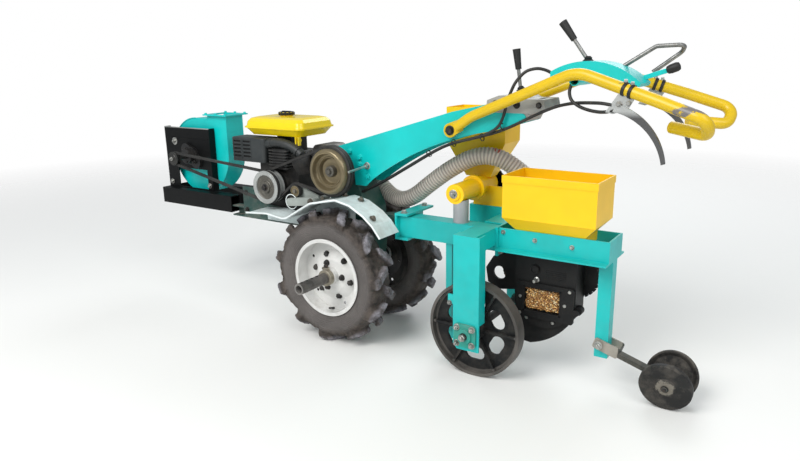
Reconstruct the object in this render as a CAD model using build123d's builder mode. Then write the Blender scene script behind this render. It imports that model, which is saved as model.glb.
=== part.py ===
from build123d import *
import os
from math import asin, atan2, cos, degrees, hypot, pi, radians, sin, tan

# Single-row pneumatic seeder carried by a walking tractor, in millimetres.
# +X is forward, +Y is left, +Z is up. The origin is on the ground under the middle of the machine.
# Named places are measured from the drive axle: forward, left, and up. Heights take the axle as axle_z up,
# and ground is where the ground then lies under the tyres, so a larger tyre lifts the whole frame.

os.makedirs("parts", exist_ok=True)

# Overall reach, which sets where the axle lies in the machine's length
front_reach = 982.0
rear_reach = 1194.0
axle_x = (rear_reach - front_reach) / 2

# Drive wheels
tyre_r = 240.0
tyre_width = 108.0
tyre_y = 155.0
lug_height = 24.0
lug_width = 27.0
lug_count = 11
rim_r = 139.5
rim_half = 45.0
rim_wall = 3.5
disc_inset = 38.0
stub_end = 337.0
stub_wall = 5.0
stub_bore = 118.0
pin_hole_r = 5.0
pin_hole_end = 14.0
pin_hole_pitch = 26.0
pin_hole_count = 4
axle_r = 19.0
hub_r = 32.0
running_gap = 0.05
axle_z = 240.0
ground = axle_z - tyre_r

# Gearbox between the beam's side plates, and the two rails that carry the engine
beam_half = 60.0
beam_wall = 4.0
gearbox_half = beam_half - beam_wall
pulley_shaft_x = 8.0
pulley_shaft_z = 606.0
rail_depth = 37.0
rail_top = 420.0
rail_height = 42.0
rail_wall = 5.0
rail_rear = -90.0
bed_front = 495.0

# Engine
crank_x = 304.0
crank_z = 526.0
engine_front = 425.0
engine_rear = 190.0
engine_half = 85.0
cleaner_bottom = 606.0
cleaner_top = 697.0
cleaner_front = 519.0
cleaner_rear = 345.0
cleaner_near = 112.0
tank_front = 464.0
tank_rear = 168.0
tank_half = 102.0
tank_bottom = cleaner_top + 10
tank_seam = tank_bottom + 26
tank_top = tank_bottom + 66

# Belts and pulleys
drive_belt_y = 130.0
fan_belt_y = 148.0
belt_width = 12.0
belt_depth = 9.0
belt_seat = 0.3
engine_pulley_r = 52.0
gearbox_pulley_r = 80.0
fan_pulley_r = 18.0
idler_r = 22.0

# Fan and its stand
fan_x = 815.0
fan_z = 597.0
fan_near = 28.0
fan_far = -62.0
fan_wall = 3.0
fan_outlet_top = 768.0
stand_rear = 704.0
stand_near = 60.0
stand_top = 712.0
stand_flange = 30.0
stand_wall = 4.0
base_bottom = 390.0
base_top = 455.0
base_rear = 560.0
base_tube = 50.0

# Beam, handles and levers
pivot_x = -425.0
pivot_z = 760.0
pivot_pin_r = 8.0
handle_r = 15.5
console_half = 52.0
console_wall = 3.0
console_bar_half = 112.0

# Toolbar
toolbar_top = 468.0
tube_height = 80.0
tube_wall = 4.0
main_near = 68.0
main_width = 60.0
hitch_front = -220.0
hitch_rear = -270.0
hitch_half = 85.0
main_rear = -585.0
far_top = 490.0
far_near = -110.0
far_width = 60.0
far_front = -400.0
far_rear = -630.0
leg_outer = 205.0
leg_front = -512.0
leg_rear = -600.0
leg_wall = 6.0
rail_web_y = 62.0
hopper_rail_bottom = 400.0
hopper_rail_rear = -936.0
angle_wall = 5.0
angle_flange = 28.0

# Gauge wheel
gauge_x = -556.0
gauge_r = 154.0
gauge_z = ground + gauge_r
gauge_near = 158.0
gauge_width = 44.0
gauge_rim = 9.0
gauge_web = 9.0
gauge_shaft_r = 12.5
bearing_height = 26.0
gauge_shaft_near = 226.0
gauge_shaft_far = -222.0

# Seed hopper, seed meter and opener
hopper_front = -610.0
hopper_rear = -898.0
hopper_half = 80.0
hopper_top = 636.0
hopper_shoulder = 506.0
hopper_bottom = 440.0
hopper_taper = 36.0
sheet = 2.0
meter_front = -640.0
meter_rear = -838.0
meter_top = 392.0
meter_bottom = 190.0
meter_near = 40.0
meter_far = -36.0
meter_frame = 8.0
meter_frame_top = 304.0
window_x = -735.0
window_z = 250.0
window_length = 112.0
window_height = 74.0
window_depth = 24.0
window_pane = 20.0

# Rear leg and press wheels
rear_leg_x = -915.0
rear_leg_y = 18.0
rear_leg_bottom = 95.0
press_pivot_x = -911.0
press_pivot_z = 138.0
press_r = 73.0
press_x = -1116.0
press_mid = 22.0
press_half = 42.0
press_camber = 12.0
press_thick = 20.0
press_stub_r = 8.0

# Fertiliser unit
fert_x = -437.0
fert_z = 557.0
fert_r = 32.0
fert_near = 62.0
fert_far = -186.0
fert_hopper_near = -125.0
fert_hopper_far = -245.0
fert_hopper_top = 815.0
fert_shoulder = 700.0
fert_bin_x = -410.0
fert_bin_length = 220.0
chain_y = -203.0
sprocket_up_r = 42.0
sprocket_low_r = 26.0

# Suction hose, from the fan's elbow back along the far side and over the toolbar to the meter's elbow
hose_r = 30.0
elbow_r = 34.0
elbow_bend = 42.0
meter_port_z = 300.0
hose_points = [
    (752, -130, 595.7), (610, -146, 592.7), (440, -178, 584), (270, -184, 570), (120, -152, 556),
    (30, -118, 544), (-42, -95, 525), (-90, -83, 493), (-147, -70, 484), (-205, -60, 502), (-276, -54, 558),
    (-356, -54, 616), (-429, -60, 657), (-477, -70, 668), (-525, -84, 660), (-569, -102, 630),
    (-609, -120, 593), (-652, -131, 535), (-684, -135, 460), (-690, -136, 375),
]


def side(y):
    """A plane along the machine at y: x forward from the axle, y up, normal to the right."""
    return Plane(origin=(axle_x, y, -ground), x_dir=(1, 0, 0), z_dir=(0, -1, 0))


def cross(x):
    """A plane across the machine at x: x to the left, y up, normal forward."""
    return Plane(origin=(axle_x + x, 0, -ground), x_dir=(0, 1, 0), z_dir=(1, 0, 0))


def level(z):
    """A level plane at z: x forward from the axle, y to the left, normal up."""
    return Plane(origin=(axle_x, 0, z - ground), x_dir=(1, 0, 0), z_dir=(0, 0, 1))


def spin_plane(x, z, y=0.0):
    """A plane for the half outline of a wheel: x to the left, y out from the wheel's axis."""
    return Plane(origin=(axle_x + x, y, z - ground), x_dir=(0, 1, 0), z_dir=(1, 0, 0))


def spin_axis(x, z):
    """The wheel axis that goes with spin_plane."""
    return Axis((axle_x + x, 0, z - ground), (0, 1, 0))


def place(x, y, z):
    """A point of the machine, from its place forward of the axle."""
    return Vector(axle_x + x, y, z - ground)


def belt_points(circles):
    """Where a belt meets each pulley: rows of (x, z, radius, turn), turn 1 or -1 as it wraps."""
    points = []
    for row, (x, z, r, turn) in enumerate(circles):
        x2, z2, r2, turn2 = circles[(row + 1) % len(circles)]
        distance = hypot(x2 - x, z2 - z)
        heading = atan2(z2 - z, x2 - x) - asin((turn2 * r2 - turn * r) / distance)
        left = (-sin(heading), cos(heading))
        points.append(((x - turn * r * left[0], z - turn * r * left[1]),
                       (x2 - turn2 * r2 * left[0], z2 - turn2 * r2 * left[1])))
    return points


def belt_edges(circles):
    """Draws a belt's closed line: a straight run, then the arc round the next pulley."""
    runs = belt_points(circles)
    for row, (start, end) in enumerate(runs):
        Line(start, end)
        x, z, r, turn = circles[(row + 1) % len(circles)]
        leave = runs[(row + 1) % len(runs)][0]
        first = atan2(end[1] - z, end[0] - x)
        sweep_angle = (atan2(leave[1] - z, leave[0] - x) - first) * turn % (2 * pi)
        middle = first + turn * sweep_angle / 2
        ThreePointArc(end, (x + r * cos(middle), z + r * sin(middle)), leave)


def grown(circles, amount):
    """The same pulleys for the belt's outer line, amount further out all round."""
    return [(x, z, r + turn * amount, turn) for x, z, r, turn in circles]


def bar(points, radii, radius):
    """A round bar along straight runs joined by arcs."""
    with BuildLine() as route:
        FilletPolyline(*[place(*p) for p in points], radius=radii)
    path = route.wire()
    with BuildSketch(Plane(origin=path @ 0, z_dir=path % 0)) as section:
        Circle(radius)
    sweep(section.sketch, path=path)


def elbow_corner(end, before, axis, value):
    """Where the line through a hose's last two points reaches value on one axis."""
    reach = (value - end[axis]) / (end[axis] - before[axis])
    return tuple(a + (a - b) * reach for a, b in zip(end, before))


# Left drive wheel: lugs cut to the tread's crown, then the casing that carries them
casing_r = tyre_r - lug_height
half_tyre = tyre_width / 2
lug_root = casing_r - 26
lug_sweep = 22.0
with BuildPart() as left_tyre:
    for row in range(lug_count * 2):
        hand = 1 if row % 2 else -1
        angle = radians(row * 180 / lug_count)
        outward = Vector(sin(angle), 0, cos(angle))
        centre = place(0, tyre_y, axle_z) + outward * lug_root
        lug_plane = Plane(origin=centre, x_dir=(cos(angle), 0, -sin(angle)), z_dir=outward)
        with BuildSketch(lug_plane):
            with BuildLine():
                Polyline(
                    (lug_sweep + lug_width / 2, -hand * 5),
                    (lug_sweep - lug_width / 2, -hand * 5),
                    (-lug_sweep - lug_width / 2, hand * half_tyre * 0.8),
                    (-lug_sweep - lug_width / 2, hand * half_tyre),
                    (-lug_sweep + lug_width / 2, hand * half_tyre),
                    close=True,
                )
            make_face()
        extrude(amount=tyre_r)
    with BuildSketch(spin_plane(0, axle_z, tyre_y)):
        with BuildLine():
            Polyline((half_tyre - 2, tyre_r - 12), (half_tyre, lug_root), (half_tyre - 14, rim_r + 20),
                     (14 - half_tyre, rim_r + 20), (-half_tyre, lug_root), (2 - half_tyre, tyre_r - 12))
            ThreePointArc((2 - half_tyre, tyre_r - 12), (0, tyre_r), (half_tyre - 2, tyre_r - 12))
        make_face()
    revolve(axis=spin_axis(0, axle_z), mode=Mode.INTERSECT)
    with BuildSketch(spin_plane(0, axle_z, tyre_y)):
        with BuildLine():
            bead = rim_half - 6
            Polyline((bead, rim_r + 3), (bead, rim_r - 9), (-bead, rim_r - 9), (-bead, rim_r + 3))
            ThreePointArc((-bead, rim_r + 3), (2 - half_tyre, rim_r + 38), (12 - half_tyre, casing_r - 8))
            ThreePointArc((12 - half_tyre, casing_r - 8), (0, casing_r), (half_tyre - 12, casing_r - 8))
            ThreePointArc((half_tyre - 12, casing_r - 8), (half_tyre - 2, rim_r + 38), (bead, rim_r + 3))
        make_face()
    revolve(axis=spin_axis(0, axle_z))
left_tyre.part.label = "left_tyre"

# Pressed rim with its dished disc, hub and the long stub of the half-axle
barrel_r = rim_r - 9 - rim_wall
disc_y = rim_half - disc_inset
with BuildPart() as left_wheel:
    with BuildSketch(spin_plane(0, axle_z, tyre_y)):
        with BuildLine():
            Polyline(
                (-rim_half, rim_r), (-rim_half, barrel_r), (rim_half, barrel_r), (rim_half, rim_r),
                (rim_half - rim_wall, rim_r), (rim_half - rim_wall - 2, barrel_r + rim_wall),
                (rim_wall + 2 - rim_half, barrel_r + rim_wall), (rim_wall - rim_half, rim_r), close=True)
        make_face()
        with BuildLine():
            Polyline(
                (disc_y, axle_r - 2), (disc_y, 58), (disc_y - 16, 92), (disc_y - 16, barrel_r + 1),
                (disc_y - 16 + rim_wall, barrel_r + 1), (disc_y - 16 + rim_wall, 93),
                (disc_y + rim_wall, 59), (disc_y + rim_wall, axle_r - 2), close=True)
        make_face()
        with BuildLine():
            Polyline((disc_y - 14, 0), (disc_y - 14, hub_r), (disc_y + 22, hub_r), (disc_y + 22, 0),
                     close=True)
        make_face()
        with Locations(((stub_end - tyre_y + 2 - tyre_y) / 2, axle_r / 2)):
            Rectangle(stub_end - 2, axle_r)
    revolve(axis=spin_axis(0, axle_z))
    with BuildSketch(side(tyre_y + disc_y + 4)):
        with Locations((0, axle_z)):
            with PolarLocations(78, 6, start_angle=12):
                Circle(6)
            with PolarLocations(108, 5, start_angle=30):
                Circle(5.5)
    extrude(amount=24, both=True, mode=Mode.SUBTRACT)
    with BuildSketch(level(axle_z)):
        with Locations(*[(0, stub_end - pin_hole_end - row * pin_hole_pitch)
                         for row in range(pin_hole_count)]):
            Circle(pin_hole_r)
    extrude(amount=axle_r + 1, both=True, mode=Mode.SUBTRACT)
    with BuildSketch(side(stub_end)):
        with Locations((0, axle_z)):
            Circle(axle_r - stub_wall)
    extrude(amount=stub_bore, mode=Mode.SUBTRACT)
left_wheel.part.label = "left_wheel"

with BuildPart() as right_tyre:
    mirror(left_tyre.part, about=Plane.XZ)
right_tyre.part.label = "right_tyre"

with BuildPart() as right_wheel:
    mirror(left_wheel.part, about=Plane.XZ)
right_wheel.part.label = "right_wheel"

# Gearbox: a tall case from the axle up to the pulley shaft
with BuildPart() as gearbox:
    with BuildSketch(side(0)):
        with BuildLine():
            outline = Polyline(
                (-72, axle_z - 40), (-30, axle_z - 78), (34, axle_z - 78), (74, axle_z - 34),
                (82, rail_top + 40), (74, pulley_shaft_z + 20), (40, pulley_shaft_z + 60),
                (-20, pulley_shaft_z + 60), (-48, pulley_shaft_z - 62), (-86, rail_top + 44),
                (-90, rail_top - rail_height - 30), close=True)
            fillet(outline.vertices(), radius=14)
        make_face()
    extrude(amount=gearbox_half, both=True)
    for hand in (1, -1):
        with BuildSketch(side(hand * gearbox_half)):
            with Locations((0, axle_z)):
                Circle(46)
        extrude(amount=-hand * 28, taper=8)
    with BuildSketch(side(gearbox_half)):
        with Locations((pulley_shaft_x, pulley_shaft_z)):
            Circle(28)
    extrude(amount=-(drive_belt_y - 14 - gearbox_half), taper=4)
    with BuildSketch(side(0)):
        with Locations((0, axle_z)):
            Circle(axle_r + running_gap)
    extrude(amount=gearbox_half + 30, both=True, mode=Mode.SUBTRACT)
gearbox.part.label = "gearbox"

# Two channels from the gearbox forward, which carry the engine and the fan's base
rail_outer = gearbox_half + rail_depth
with BuildPart() as engine_rails:
    for hand in (1, -1):
        with BuildSketch(cross(rail_rear)):
            with BuildLine():
                web = hand * (gearbox_half + rail_wall)
                edge = hand * rail_outer
                rail_low = rail_top - rail_height
                Polyline(
                    (hand * gearbox_half, rail_top), (edge, rail_top), (edge, rail_top - rail_wall),
                    (web, rail_top - rail_wall), (web, rail_low + rail_wall), (edge, rail_low + rail_wall),
                    (edge, rail_low), (hand * gearbox_half, rail_low), close=True)
            make_face()
        extrude(amount=base_rear - rail_rear)
    with BuildSketch(side(rail_outer)):
        with BuildLine():
            outline = Polyline(
                (bed_front, rail_low), (bed_front, crank_z - 24), (bed_front - 60, crank_z - 24),
                (engine_front - 30, rail_top + 26), (engine_rear, rail_top + 14), (engine_rear, rail_low),
                close=True)
            fillet(outline.vertices().sort_by(Axis.Z)[-2:], radius=10)
        make_face()
    extrude(amount=rail_wall - 1)
engine_rails.part.label = "engine_rails"

# Drawbar block between the gearbox and the seeder's hitch channel
with BuildPart() as drawbar:
    with BuildSketch(side(0)):
        with BuildLine():
            Polyline(
                (rail_rear, rail_top - rail_height - 20), (hitch_front, toolbar_top - 70),
                (hitch_front, toolbar_top - 8), (rail_rear, rail_top + 20), close=True)
        make_face()
    extrude(amount=30, both=True)
    with BuildSketch(side(0)):
        with Locations(((rail_rear + hitch_front) / 2, rail_top)):
            Circle(10)
    extrude(amount=31, both=True, mode=Mode.SUBTRACT)
drawbar.part.label = "drawbar"

# Engine: crankcase, then the finned cylinder under the tank
with BuildPart() as engine_block:
    with BuildSketch(side(0)):
        with BuildLine():
            outline = Polyline(
                (engine_rear, rail_top), (engine_front, rail_top), (engine_front, rail_top + 22),
                (engine_front - 26, rail_top + 40), (engine_front - 30, crank_z + 118),
                (engine_rear + 70, crank_z + 118),
                (engine_rear + 14, crank_z + 40), (engine_rear + 20, rail_top + 30), close=True)
            fillet(outline.vertices(), radius=7)
        make_face()
    extrude(amount=engine_half, both=True)
    with BuildSketch(level(cleaner_bottom)):
        with Locations(((cleaner_front + cleaner_rear) / 2, cleaner_near - engine_half)):
            Rectangle(cleaner_front - cleaner_rear, engine_half * 2)
    extrude(amount=tank_bottom - cleaner_bottom, mode=Mode.SUBTRACT)
    with BuildSketch(side(engine_half)):
        with Locations((crank_x, crank_z)):
            Circle(62)
    extrude(amount=-16, taper=12)
    with BuildSketch(side(engine_half)):
        with Locations((crank_x, crank_z)):
            Circle(12.5)
    extrude(amount=-(fan_belt_y + 12 - engine_half))
    for x in (engine_front - 96, engine_rear + 90):
        with BuildSketch(level(crank_z + 118)):
            with Locations((x, 0)):
                Rectangle(24, engine_half)
        extrude(amount=tank_bottom - crank_z - 118)
engine_block.part.label = "engine_block"

# Cylinder head with its cooling fins, which lean out to the near side
fin_count = 7
fin_pitch = 10.5
head_x = crank_x - 28
with BuildPart() as cylinder_head:
    with BuildSketch(level(crank_z + 62)):
        with Locations((head_x, engine_half + 8)):
            RectangleRounded(70, 36, 10)
    extrude(amount=fin_count * fin_pitch)
    for row in range(fin_count):
        with BuildSketch(level(crank_z + 66 + row * fin_pitch)):
            with Locations((head_x, engine_half + 8)):
                RectangleRounded(94, 50, 12)
        extrude(amount=4)
    with BuildSketch(side(engine_half + 0.3)):
        with Locations((head_x, crank_z + 95)):
            Rectangle(120, 120)
    extrude(amount=30, mode=Mode.SUBTRACT)
cylinder_head.part.label = "cylinder_head"

# Fuel tank: rounded lower pan and upper shell with the seam lip between them, and the cap
tank_length = tank_front - tank_rear
tank_mid = (tank_front + tank_rear) / 2
tank_lip = 5.0
# Shell sections: height, how far they stand in from the seam lip, corner radius
pan_rows = [(tank_bottom, 24, 22), (tank_seam, 5, 26)]
shell_rows = [
    (tank_seam + tank_lip, 5, 26), (tank_top - 16, 9, 26), (tank_top - 5, 20, 20), (tank_top, 40, 14),
]
with BuildPart() as fuel_tank:
    for rows in (pan_rows, shell_rows):
        for z, inset, corner in rows:
            with BuildSketch(level(z)):
                with Locations((tank_mid, 0)):
                    RectangleRounded(tank_length - inset * 2, (tank_half - inset) * 2, corner)
        loft(ruled=True)
    with BuildSketch(level(tank_seam)):
        with Locations((tank_mid, 0)):
            RectangleRounded(tank_length, tank_half * 2, 28)
    extrude(amount=tank_lip)
    with BuildSketch(level(tank_top - 2)):
        with Locations((tank_mid, 10)):
            Circle(24)
    extrude(amount=7)
    with BuildSketch(level(tank_top + 5)):
        with Locations((tank_mid, 10)):
            Circle(29)
    extrude(amount=11)
fuel_tank.part.label = "fuel_tank"

# Air cleaner: louvred box at the front and the curved duct that arches back over the head
louvre_count = 5
with BuildPart() as air_cleaner:
    with BuildSketch(level(cleaner_bottom)):
        with Locations(((cleaner_front + cleaner_rear) / 2, cleaner_near / 2 + 14)):
            RectangleRounded(cleaner_front - cleaner_rear, cleaner_near - 28, 14)
    extrude(amount=cleaner_top - cleaner_bottom)
    fillet(air_cleaner.edges().group_by(Axis.Z)[-1], radius=6)
    for column in (0, 1):
        for row in range(louvre_count):
            with BuildSketch(side(cleaner_near)):
                with Locations((cleaner_front - 34 - column * 50, cleaner_bottom + 20 + row * 14)):
                    SlotOverall(38, 7)
            extrude(amount=5, mode=Mode.SUBTRACT)
air_cleaner.part.label = "air_cleaner"

duct_near = 108.0
with BuildPart() as air_duct:
    with BuildSketch(side(duct_near)):
        with BuildLine():
            arch = ThreePointArc((cleaner_rear, cleaner_top - 2), (262, cleaner_top), (170, cleaner_top - 40))
            low_arch = ThreePointArc((178, cleaner_top - 66), (264, cleaner_top - 30),
                                     (cleaner_rear, cleaner_top - 32))
            Line(arch @ 1, low_arch @ 0)
            Line(low_arch @ 1, arch @ 0)
        make_face()
    extrude(amount=46)
    add(cylinder_head.part, mode=Mode.SUBTRACT)
air_duct.part.label = "air_duct"

# Recoil starter's round cover on the far side of the engine
with BuildPart() as recoil_cover:
    with BuildSketch(side(-engine_half)):
        with Locations((crank_x, crank_z + 16)):
            Circle(96)
    extrude(amount=34, taper=10)
    with BuildSketch(side(-engine_half - 34)):
        with Locations((crank_x, crank_z + 16)):
            Circle(62)
    extrude(amount=16, taper=20)
    with BuildSketch(side(-engine_half - 52)):
        with Locations((crank_x, crank_z + 16)):
            with PolarLocations(34, 8):
                SlotOverall(30, 7)
    extrude(amount=20, both=True, mode=Mode.SUBTRACT)
recoil_cover.part.label = "recoil_cover"

# Silencer behind the cylinder on the far side
with BuildPart() as silencer:
    with BuildSketch(side(-8)):
        with Locations((engine_rear - 22, crank_z + 108)):
            RectangleRounded(84, 74, 22)
    extrude(amount=100)
    with BuildSketch(side(-108)):
        with Locations((engine_rear - 40, crank_z + 96)):
            Circle(11)
    extrude(amount=26)
    with BuildSketch(cross(engine_rear + 10)):
        with Locations((-50, crank_z + 100)):
            Circle(15)
    extrude(amount=70)
    add(engine_block.part, mode=Mode.SUBTRACT)
silencer.part.label = "silencer"


def groove_rows(radius, ys):
    """Half outline points of a pulley's grooves: rim, groove floor, rim, for each belt."""
    points = []
    for y in ys:
        points += [(y - belt_width / 2 - 2, radius + belt_depth), (y - belt_width / 2, radius),
                   (y + belt_width / 2, radius), (y + belt_width / 2 + 2, radius + belt_depth)]
    return points


# Pulleys: the engine's three grooves, the gearbox's two, the fan's one
with BuildPart() as engine_pulley:
    with BuildSketch(spin_plane(crank_x, crank_z)):
        with BuildLine():
            Polyline(
                (drive_belt_y - 12, 12.5), (drive_belt_y - 12, engine_pulley_r + belt_depth),
                *groove_rows(engine_pulley_r, (drive_belt_y, fan_belt_y)),
                (fan_belt_y + 11, engine_pulley_r + belt_depth), (fan_belt_y + 11, 40),
                (fan_belt_y + 4, 34), (fan_belt_y + 4, 24), (fan_belt_y + 12, 20), (fan_belt_y + 12, 12.5),
                close=True)
        make_face()
    revolve(axis=spin_axis(crank_x, crank_z))
engine_pulley.part.label = "engine_pulley"

with BuildPart() as gearbox_pulley:
    with BuildSketch(spin_plane(pulley_shaft_x, pulley_shaft_z)):
        with BuildLine():
            Polyline(
                (drive_belt_y - 14, 0), (drive_belt_y - 14, gearbox_pulley_r + belt_depth),
                *groove_rows(gearbox_pulley_r, (drive_belt_y,)),
                (drive_belt_y + 14, gearbox_pulley_r), (drive_belt_y + 30, gearbox_pulley_r - 7),
                (drive_belt_y + 30, gearbox_pulley_r - 20), (drive_belt_y + 22, gearbox_pulley_r - 24),
                (drive_belt_y + 22, gearbox_pulley_r - 40), (drive_belt_y + 8, gearbox_pulley_r - 44),
                (drive_belt_y + 8, 18), (drive_belt_y + 22, 16), (drive_belt_y + 22, 0), close=True)
        make_face()
    revolve(axis=spin_axis(pulley_shaft_x, pulley_shaft_z))
gearbox_pulley.part.label = "gearbox_pulley"

# Fan's shaft with its pulley at one end and the impeller's back plate and blades at the other
fan_shaft_r = 10.0
blade_count = 8
with BuildPart() as fan_shaft:
    with BuildSketch(spin_plane(fan_x, fan_z)):
        with BuildLine():
            Polyline(
                (fan_far + 20, 0), (fan_far + 20, fan_shaft_r), (fan_belt_y - 14, fan_shaft_r),
                (fan_belt_y - 14, fan_shaft_r + 4), *groove_rows(fan_pulley_r, (fan_belt_y,)),
                (fan_belt_y + 14, fan_shaft_r + 4), (fan_belt_y + 14, 0), close=True)
        make_face()
    revolve(axis=spin_axis(fan_x, fan_z))
    with BuildSketch(side(fan_near - 10)):
        with Locations((fan_x, fan_z)):
            Circle(118)
    extrude(amount=3)
    with BuildSketch(side(fan_near - 13)):
        with Locations((fan_x, fan_z)):
            with PolarLocations(76, blade_count):
                Rectangle(80, 3)
            Circle(30)
    extrude(amount=50)
fan_shaft.part.label = "fan_shaft"

# Belt tensioner: two idlers on a pale arm that is bolted to the gearbox's side
idler_x = 176.0
idler_z = 521.0 - ground
guide_x = 195.0
guide_z = 481.0 - ground
arm_x = 92.0
arm_z = 494.0 - ground
arm_near = drive_belt_y + 22
with BuildPart() as tensioner:
    with BuildSketch(side(drive_belt_y - 12)):
        with BuildLine():
            Polyline((arm_x - 12, arm_z - 6), (arm_x - 6, arm_z + 14), (idler_x - 12, idler_z + 14),
                     (idler_x + 14, idler_z + 8), (guide_x + 16, guide_z + 2), (guide_x + 8, guide_z - 12),
                     close=True)
        make_face()
    extrude(amount=8)
    for x, z, r in ((idler_x, idler_z, idler_r), (guide_x, guide_z, idler_r + 5)):
        with BuildSketch(side(drive_belt_y - 12)):
            with Locations((x, z)):
                Circle(8)
        extrude(amount=-6)
        with BuildSketch(spin_plane(x, z)):
            with BuildLine():
                Polyline(
                    (drive_belt_y - 7, 0), (drive_belt_y - 7, r), (drive_belt_y + 9, r),
                    (drive_belt_y + 9, r - 4), (drive_belt_y + 4, r - 5), (drive_belt_y + 4, r - 11),
                    (drive_belt_y + 8, r - 12), (drive_belt_y + 8, 0), close=True)
            make_face()
        revolve(axis=spin_axis(x, z))
    with BuildSketch(side(arm_near)):
        with Locations(((arm_x + guide_x) / 2, (arm_z + guide_z) / 2)):
            SlotCenterToCenter(hypot(guide_x - arm_x, guide_z - arm_z), 28,
                               rotation=degrees(atan2(guide_z - arm_z, guide_x - arm_x)))
    extrude(amount=arm_near - drive_belt_y - 8)
    with BuildSketch(side(arm_near)):
        with Locations((arm_x, arm_z)):
            Circle(10)
    extrude(amount=arm_near - gearbox_half)
tensioner.part.label = "tensioner"

# Belts: the drive belt goes over the idler on its way back, the fan belt runs straight
drive_circles = [
    (crank_x, crank_z, engine_pulley_r + belt_seat, 1),
    (pulley_shaft_x, pulley_shaft_z, gearbox_pulley_r + belt_seat, 1),
    (idler_x, idler_z, idler_r + belt_depth + belt_seat, -1),
]
fan_circles = [
    (fan_x, fan_z, fan_pulley_r + belt_seat, 1),
    (crank_x, crank_z, engine_pulley_r + belt_seat, 1),
]
with BuildPart() as drive_belt:
    with BuildSketch(side(drive_belt_y + belt_width / 2 - 1)):
        with BuildLine():
            belt_edges(grown(drive_circles, belt_depth))
        make_face()
        with BuildLine():
            belt_edges(drive_circles)
        make_face(mode=Mode.SUBTRACT)
    extrude(amount=belt_width - 2)
drive_belt.part.label = "drive_belt"

with BuildPart() as fan_belt:
    with BuildSketch(side(fan_belt_y + belt_width / 2 - 1)):
        with BuildLine():
            belt_edges(grown(fan_circles, belt_depth))
        make_face()
        with BuildLine():
            belt_edges(fan_circles)
        make_face(mode=Mode.SUBTRACT)
    extrude(amount=belt_width - 2)
fan_belt.part.label = "fan_belt"

# Fan base: two square tubes along the machine with a cross plate at the front
with BuildPart() as fan_base:
    for tube_y in (stand_near - 10 + base_tube / 2, fan_far - base_tube / 2):
        with BuildSketch(cross(base_rear)):
            with Locations((tube_y, (base_bottom + base_top) / 2)):
                Rectangle(base_tube, base_top - base_bottom)
                Rectangle(base_tube - 8, base_top - base_bottom - 8, mode=Mode.SUBTRACT)
        extrude(amount=front_reach - base_rear)
    for x, amount in ((front_reach, -5), (base_rear, 5)):
        with BuildSketch(cross(x)):
            with Locations(((stand_near - 10 + fan_far) / 2, (base_bottom + base_top) / 2)):
                Rectangle(stand_near - 10 - fan_far, base_top - base_bottom)
        extrude(amount=amount)
fan_base.part.label = "fan_base"

# Fan stand: an upright plate with folded flanges and a window, with the shaft's bearing
with BuildPart() as fan_stand:
    with BuildSketch(level(base_top)):
        with BuildLine():
            Polyline(
                (stand_rear, stand_near), (front_reach, stand_near), (front_reach, stand_near - stand_flange),
                (front_reach - stand_wall, stand_near - stand_flange),
                (front_reach - stand_wall, stand_near - stand_wall),
                (stand_rear + stand_wall, stand_near - stand_wall),
                (stand_rear + stand_wall, stand_near - stand_flange), (stand_rear, stand_near - stand_flange),
                close=True)
        make_face()
    extrude(amount=stand_top - base_top)
    with BuildSketch(side(stand_near)):
        with Locations(((stand_rear + front_reach) / 2 - 20, base_top + 45)):
            Rectangle(180, 82)
        with Locations((fan_x, fan_z)):
            Circle(12)
    extrude(amount=stand_wall + 1, mode=Mode.SUBTRACT)
fan_stand.part.label = "fan_stand"

# Fan housing: a volute of three growing quarter arcs that runs up into the outlet duct
crest_r = 153.0
front_r = 160.0
rear_r = 176.0
duct_front = fan_x - 80


def volute(wall):
    """Draws the fan's outline, pulled in by wall."""
    crest = (fan_x, fan_z + crest_r - wall)
    front = (fan_x + crest_r - wall, fan_z)
    bottom = (front[0] - front_r + wall, fan_z - front_r + wall)
    rear = (bottom[0] - rear_r + wall, bottom[1] + rear_r - wall)
    line = Line(crest, (duct_front, crest[1]))
    up = Line(line @ 1, (duct_front, fan_outlet_top))
    top = Line(up @ 1, (rear[0], fan_outlet_top))
    Line(top @ 1, rear)
    TangentArc(rear, bottom, tangent=(0, -1))
    TangentArc(bottom, front, tangent=(1, 0))
    TangentArc(front, crest, tangent=(0, 1))


with BuildPart() as fan_housing:
    with BuildSketch(side(fan_near)):
        with BuildLine():
            volute(0)
        make_face()
    extrude(amount=fan_near - fan_far)
    with BuildSketch(side(fan_near - fan_wall)):
        with BuildLine():
            volute(fan_wall)
        make_face()
    extrude(amount=fan_near - fan_far - fan_wall * 2, mode=Mode.SUBTRACT)
    rear_wall = fan_x + crest_r - front_r - rear_r
    with BuildSketch(level(fan_outlet_top - 5)):
        with Locations(((rear_wall + duct_front) / 2, (fan_near + fan_far) / 2)):
            Rectangle(duct_front - rear_wall + 32, fan_near - fan_far + 32)
            Rectangle(duct_front - rear_wall - fan_wall * 2, fan_near - fan_far - fan_wall * 2,
                      mode=Mode.SUBTRACT)
    extrude(amount=5)
    with BuildSketch(side(fan_near)):
        with Locations((fan_x, fan_z)):
            Circle(11)
    extrude(amount=fan_wall, mode=Mode.SUBTRACT)
    bar([(fan_x, fan_far + fan_wall, fan_z), elbow_corner(hose_points[0], hose_points[1], 0, fan_x),
         hose_points[0]], elbow_bend, elbow_r)
fan_housing.part.label = "fan_housing"

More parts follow.
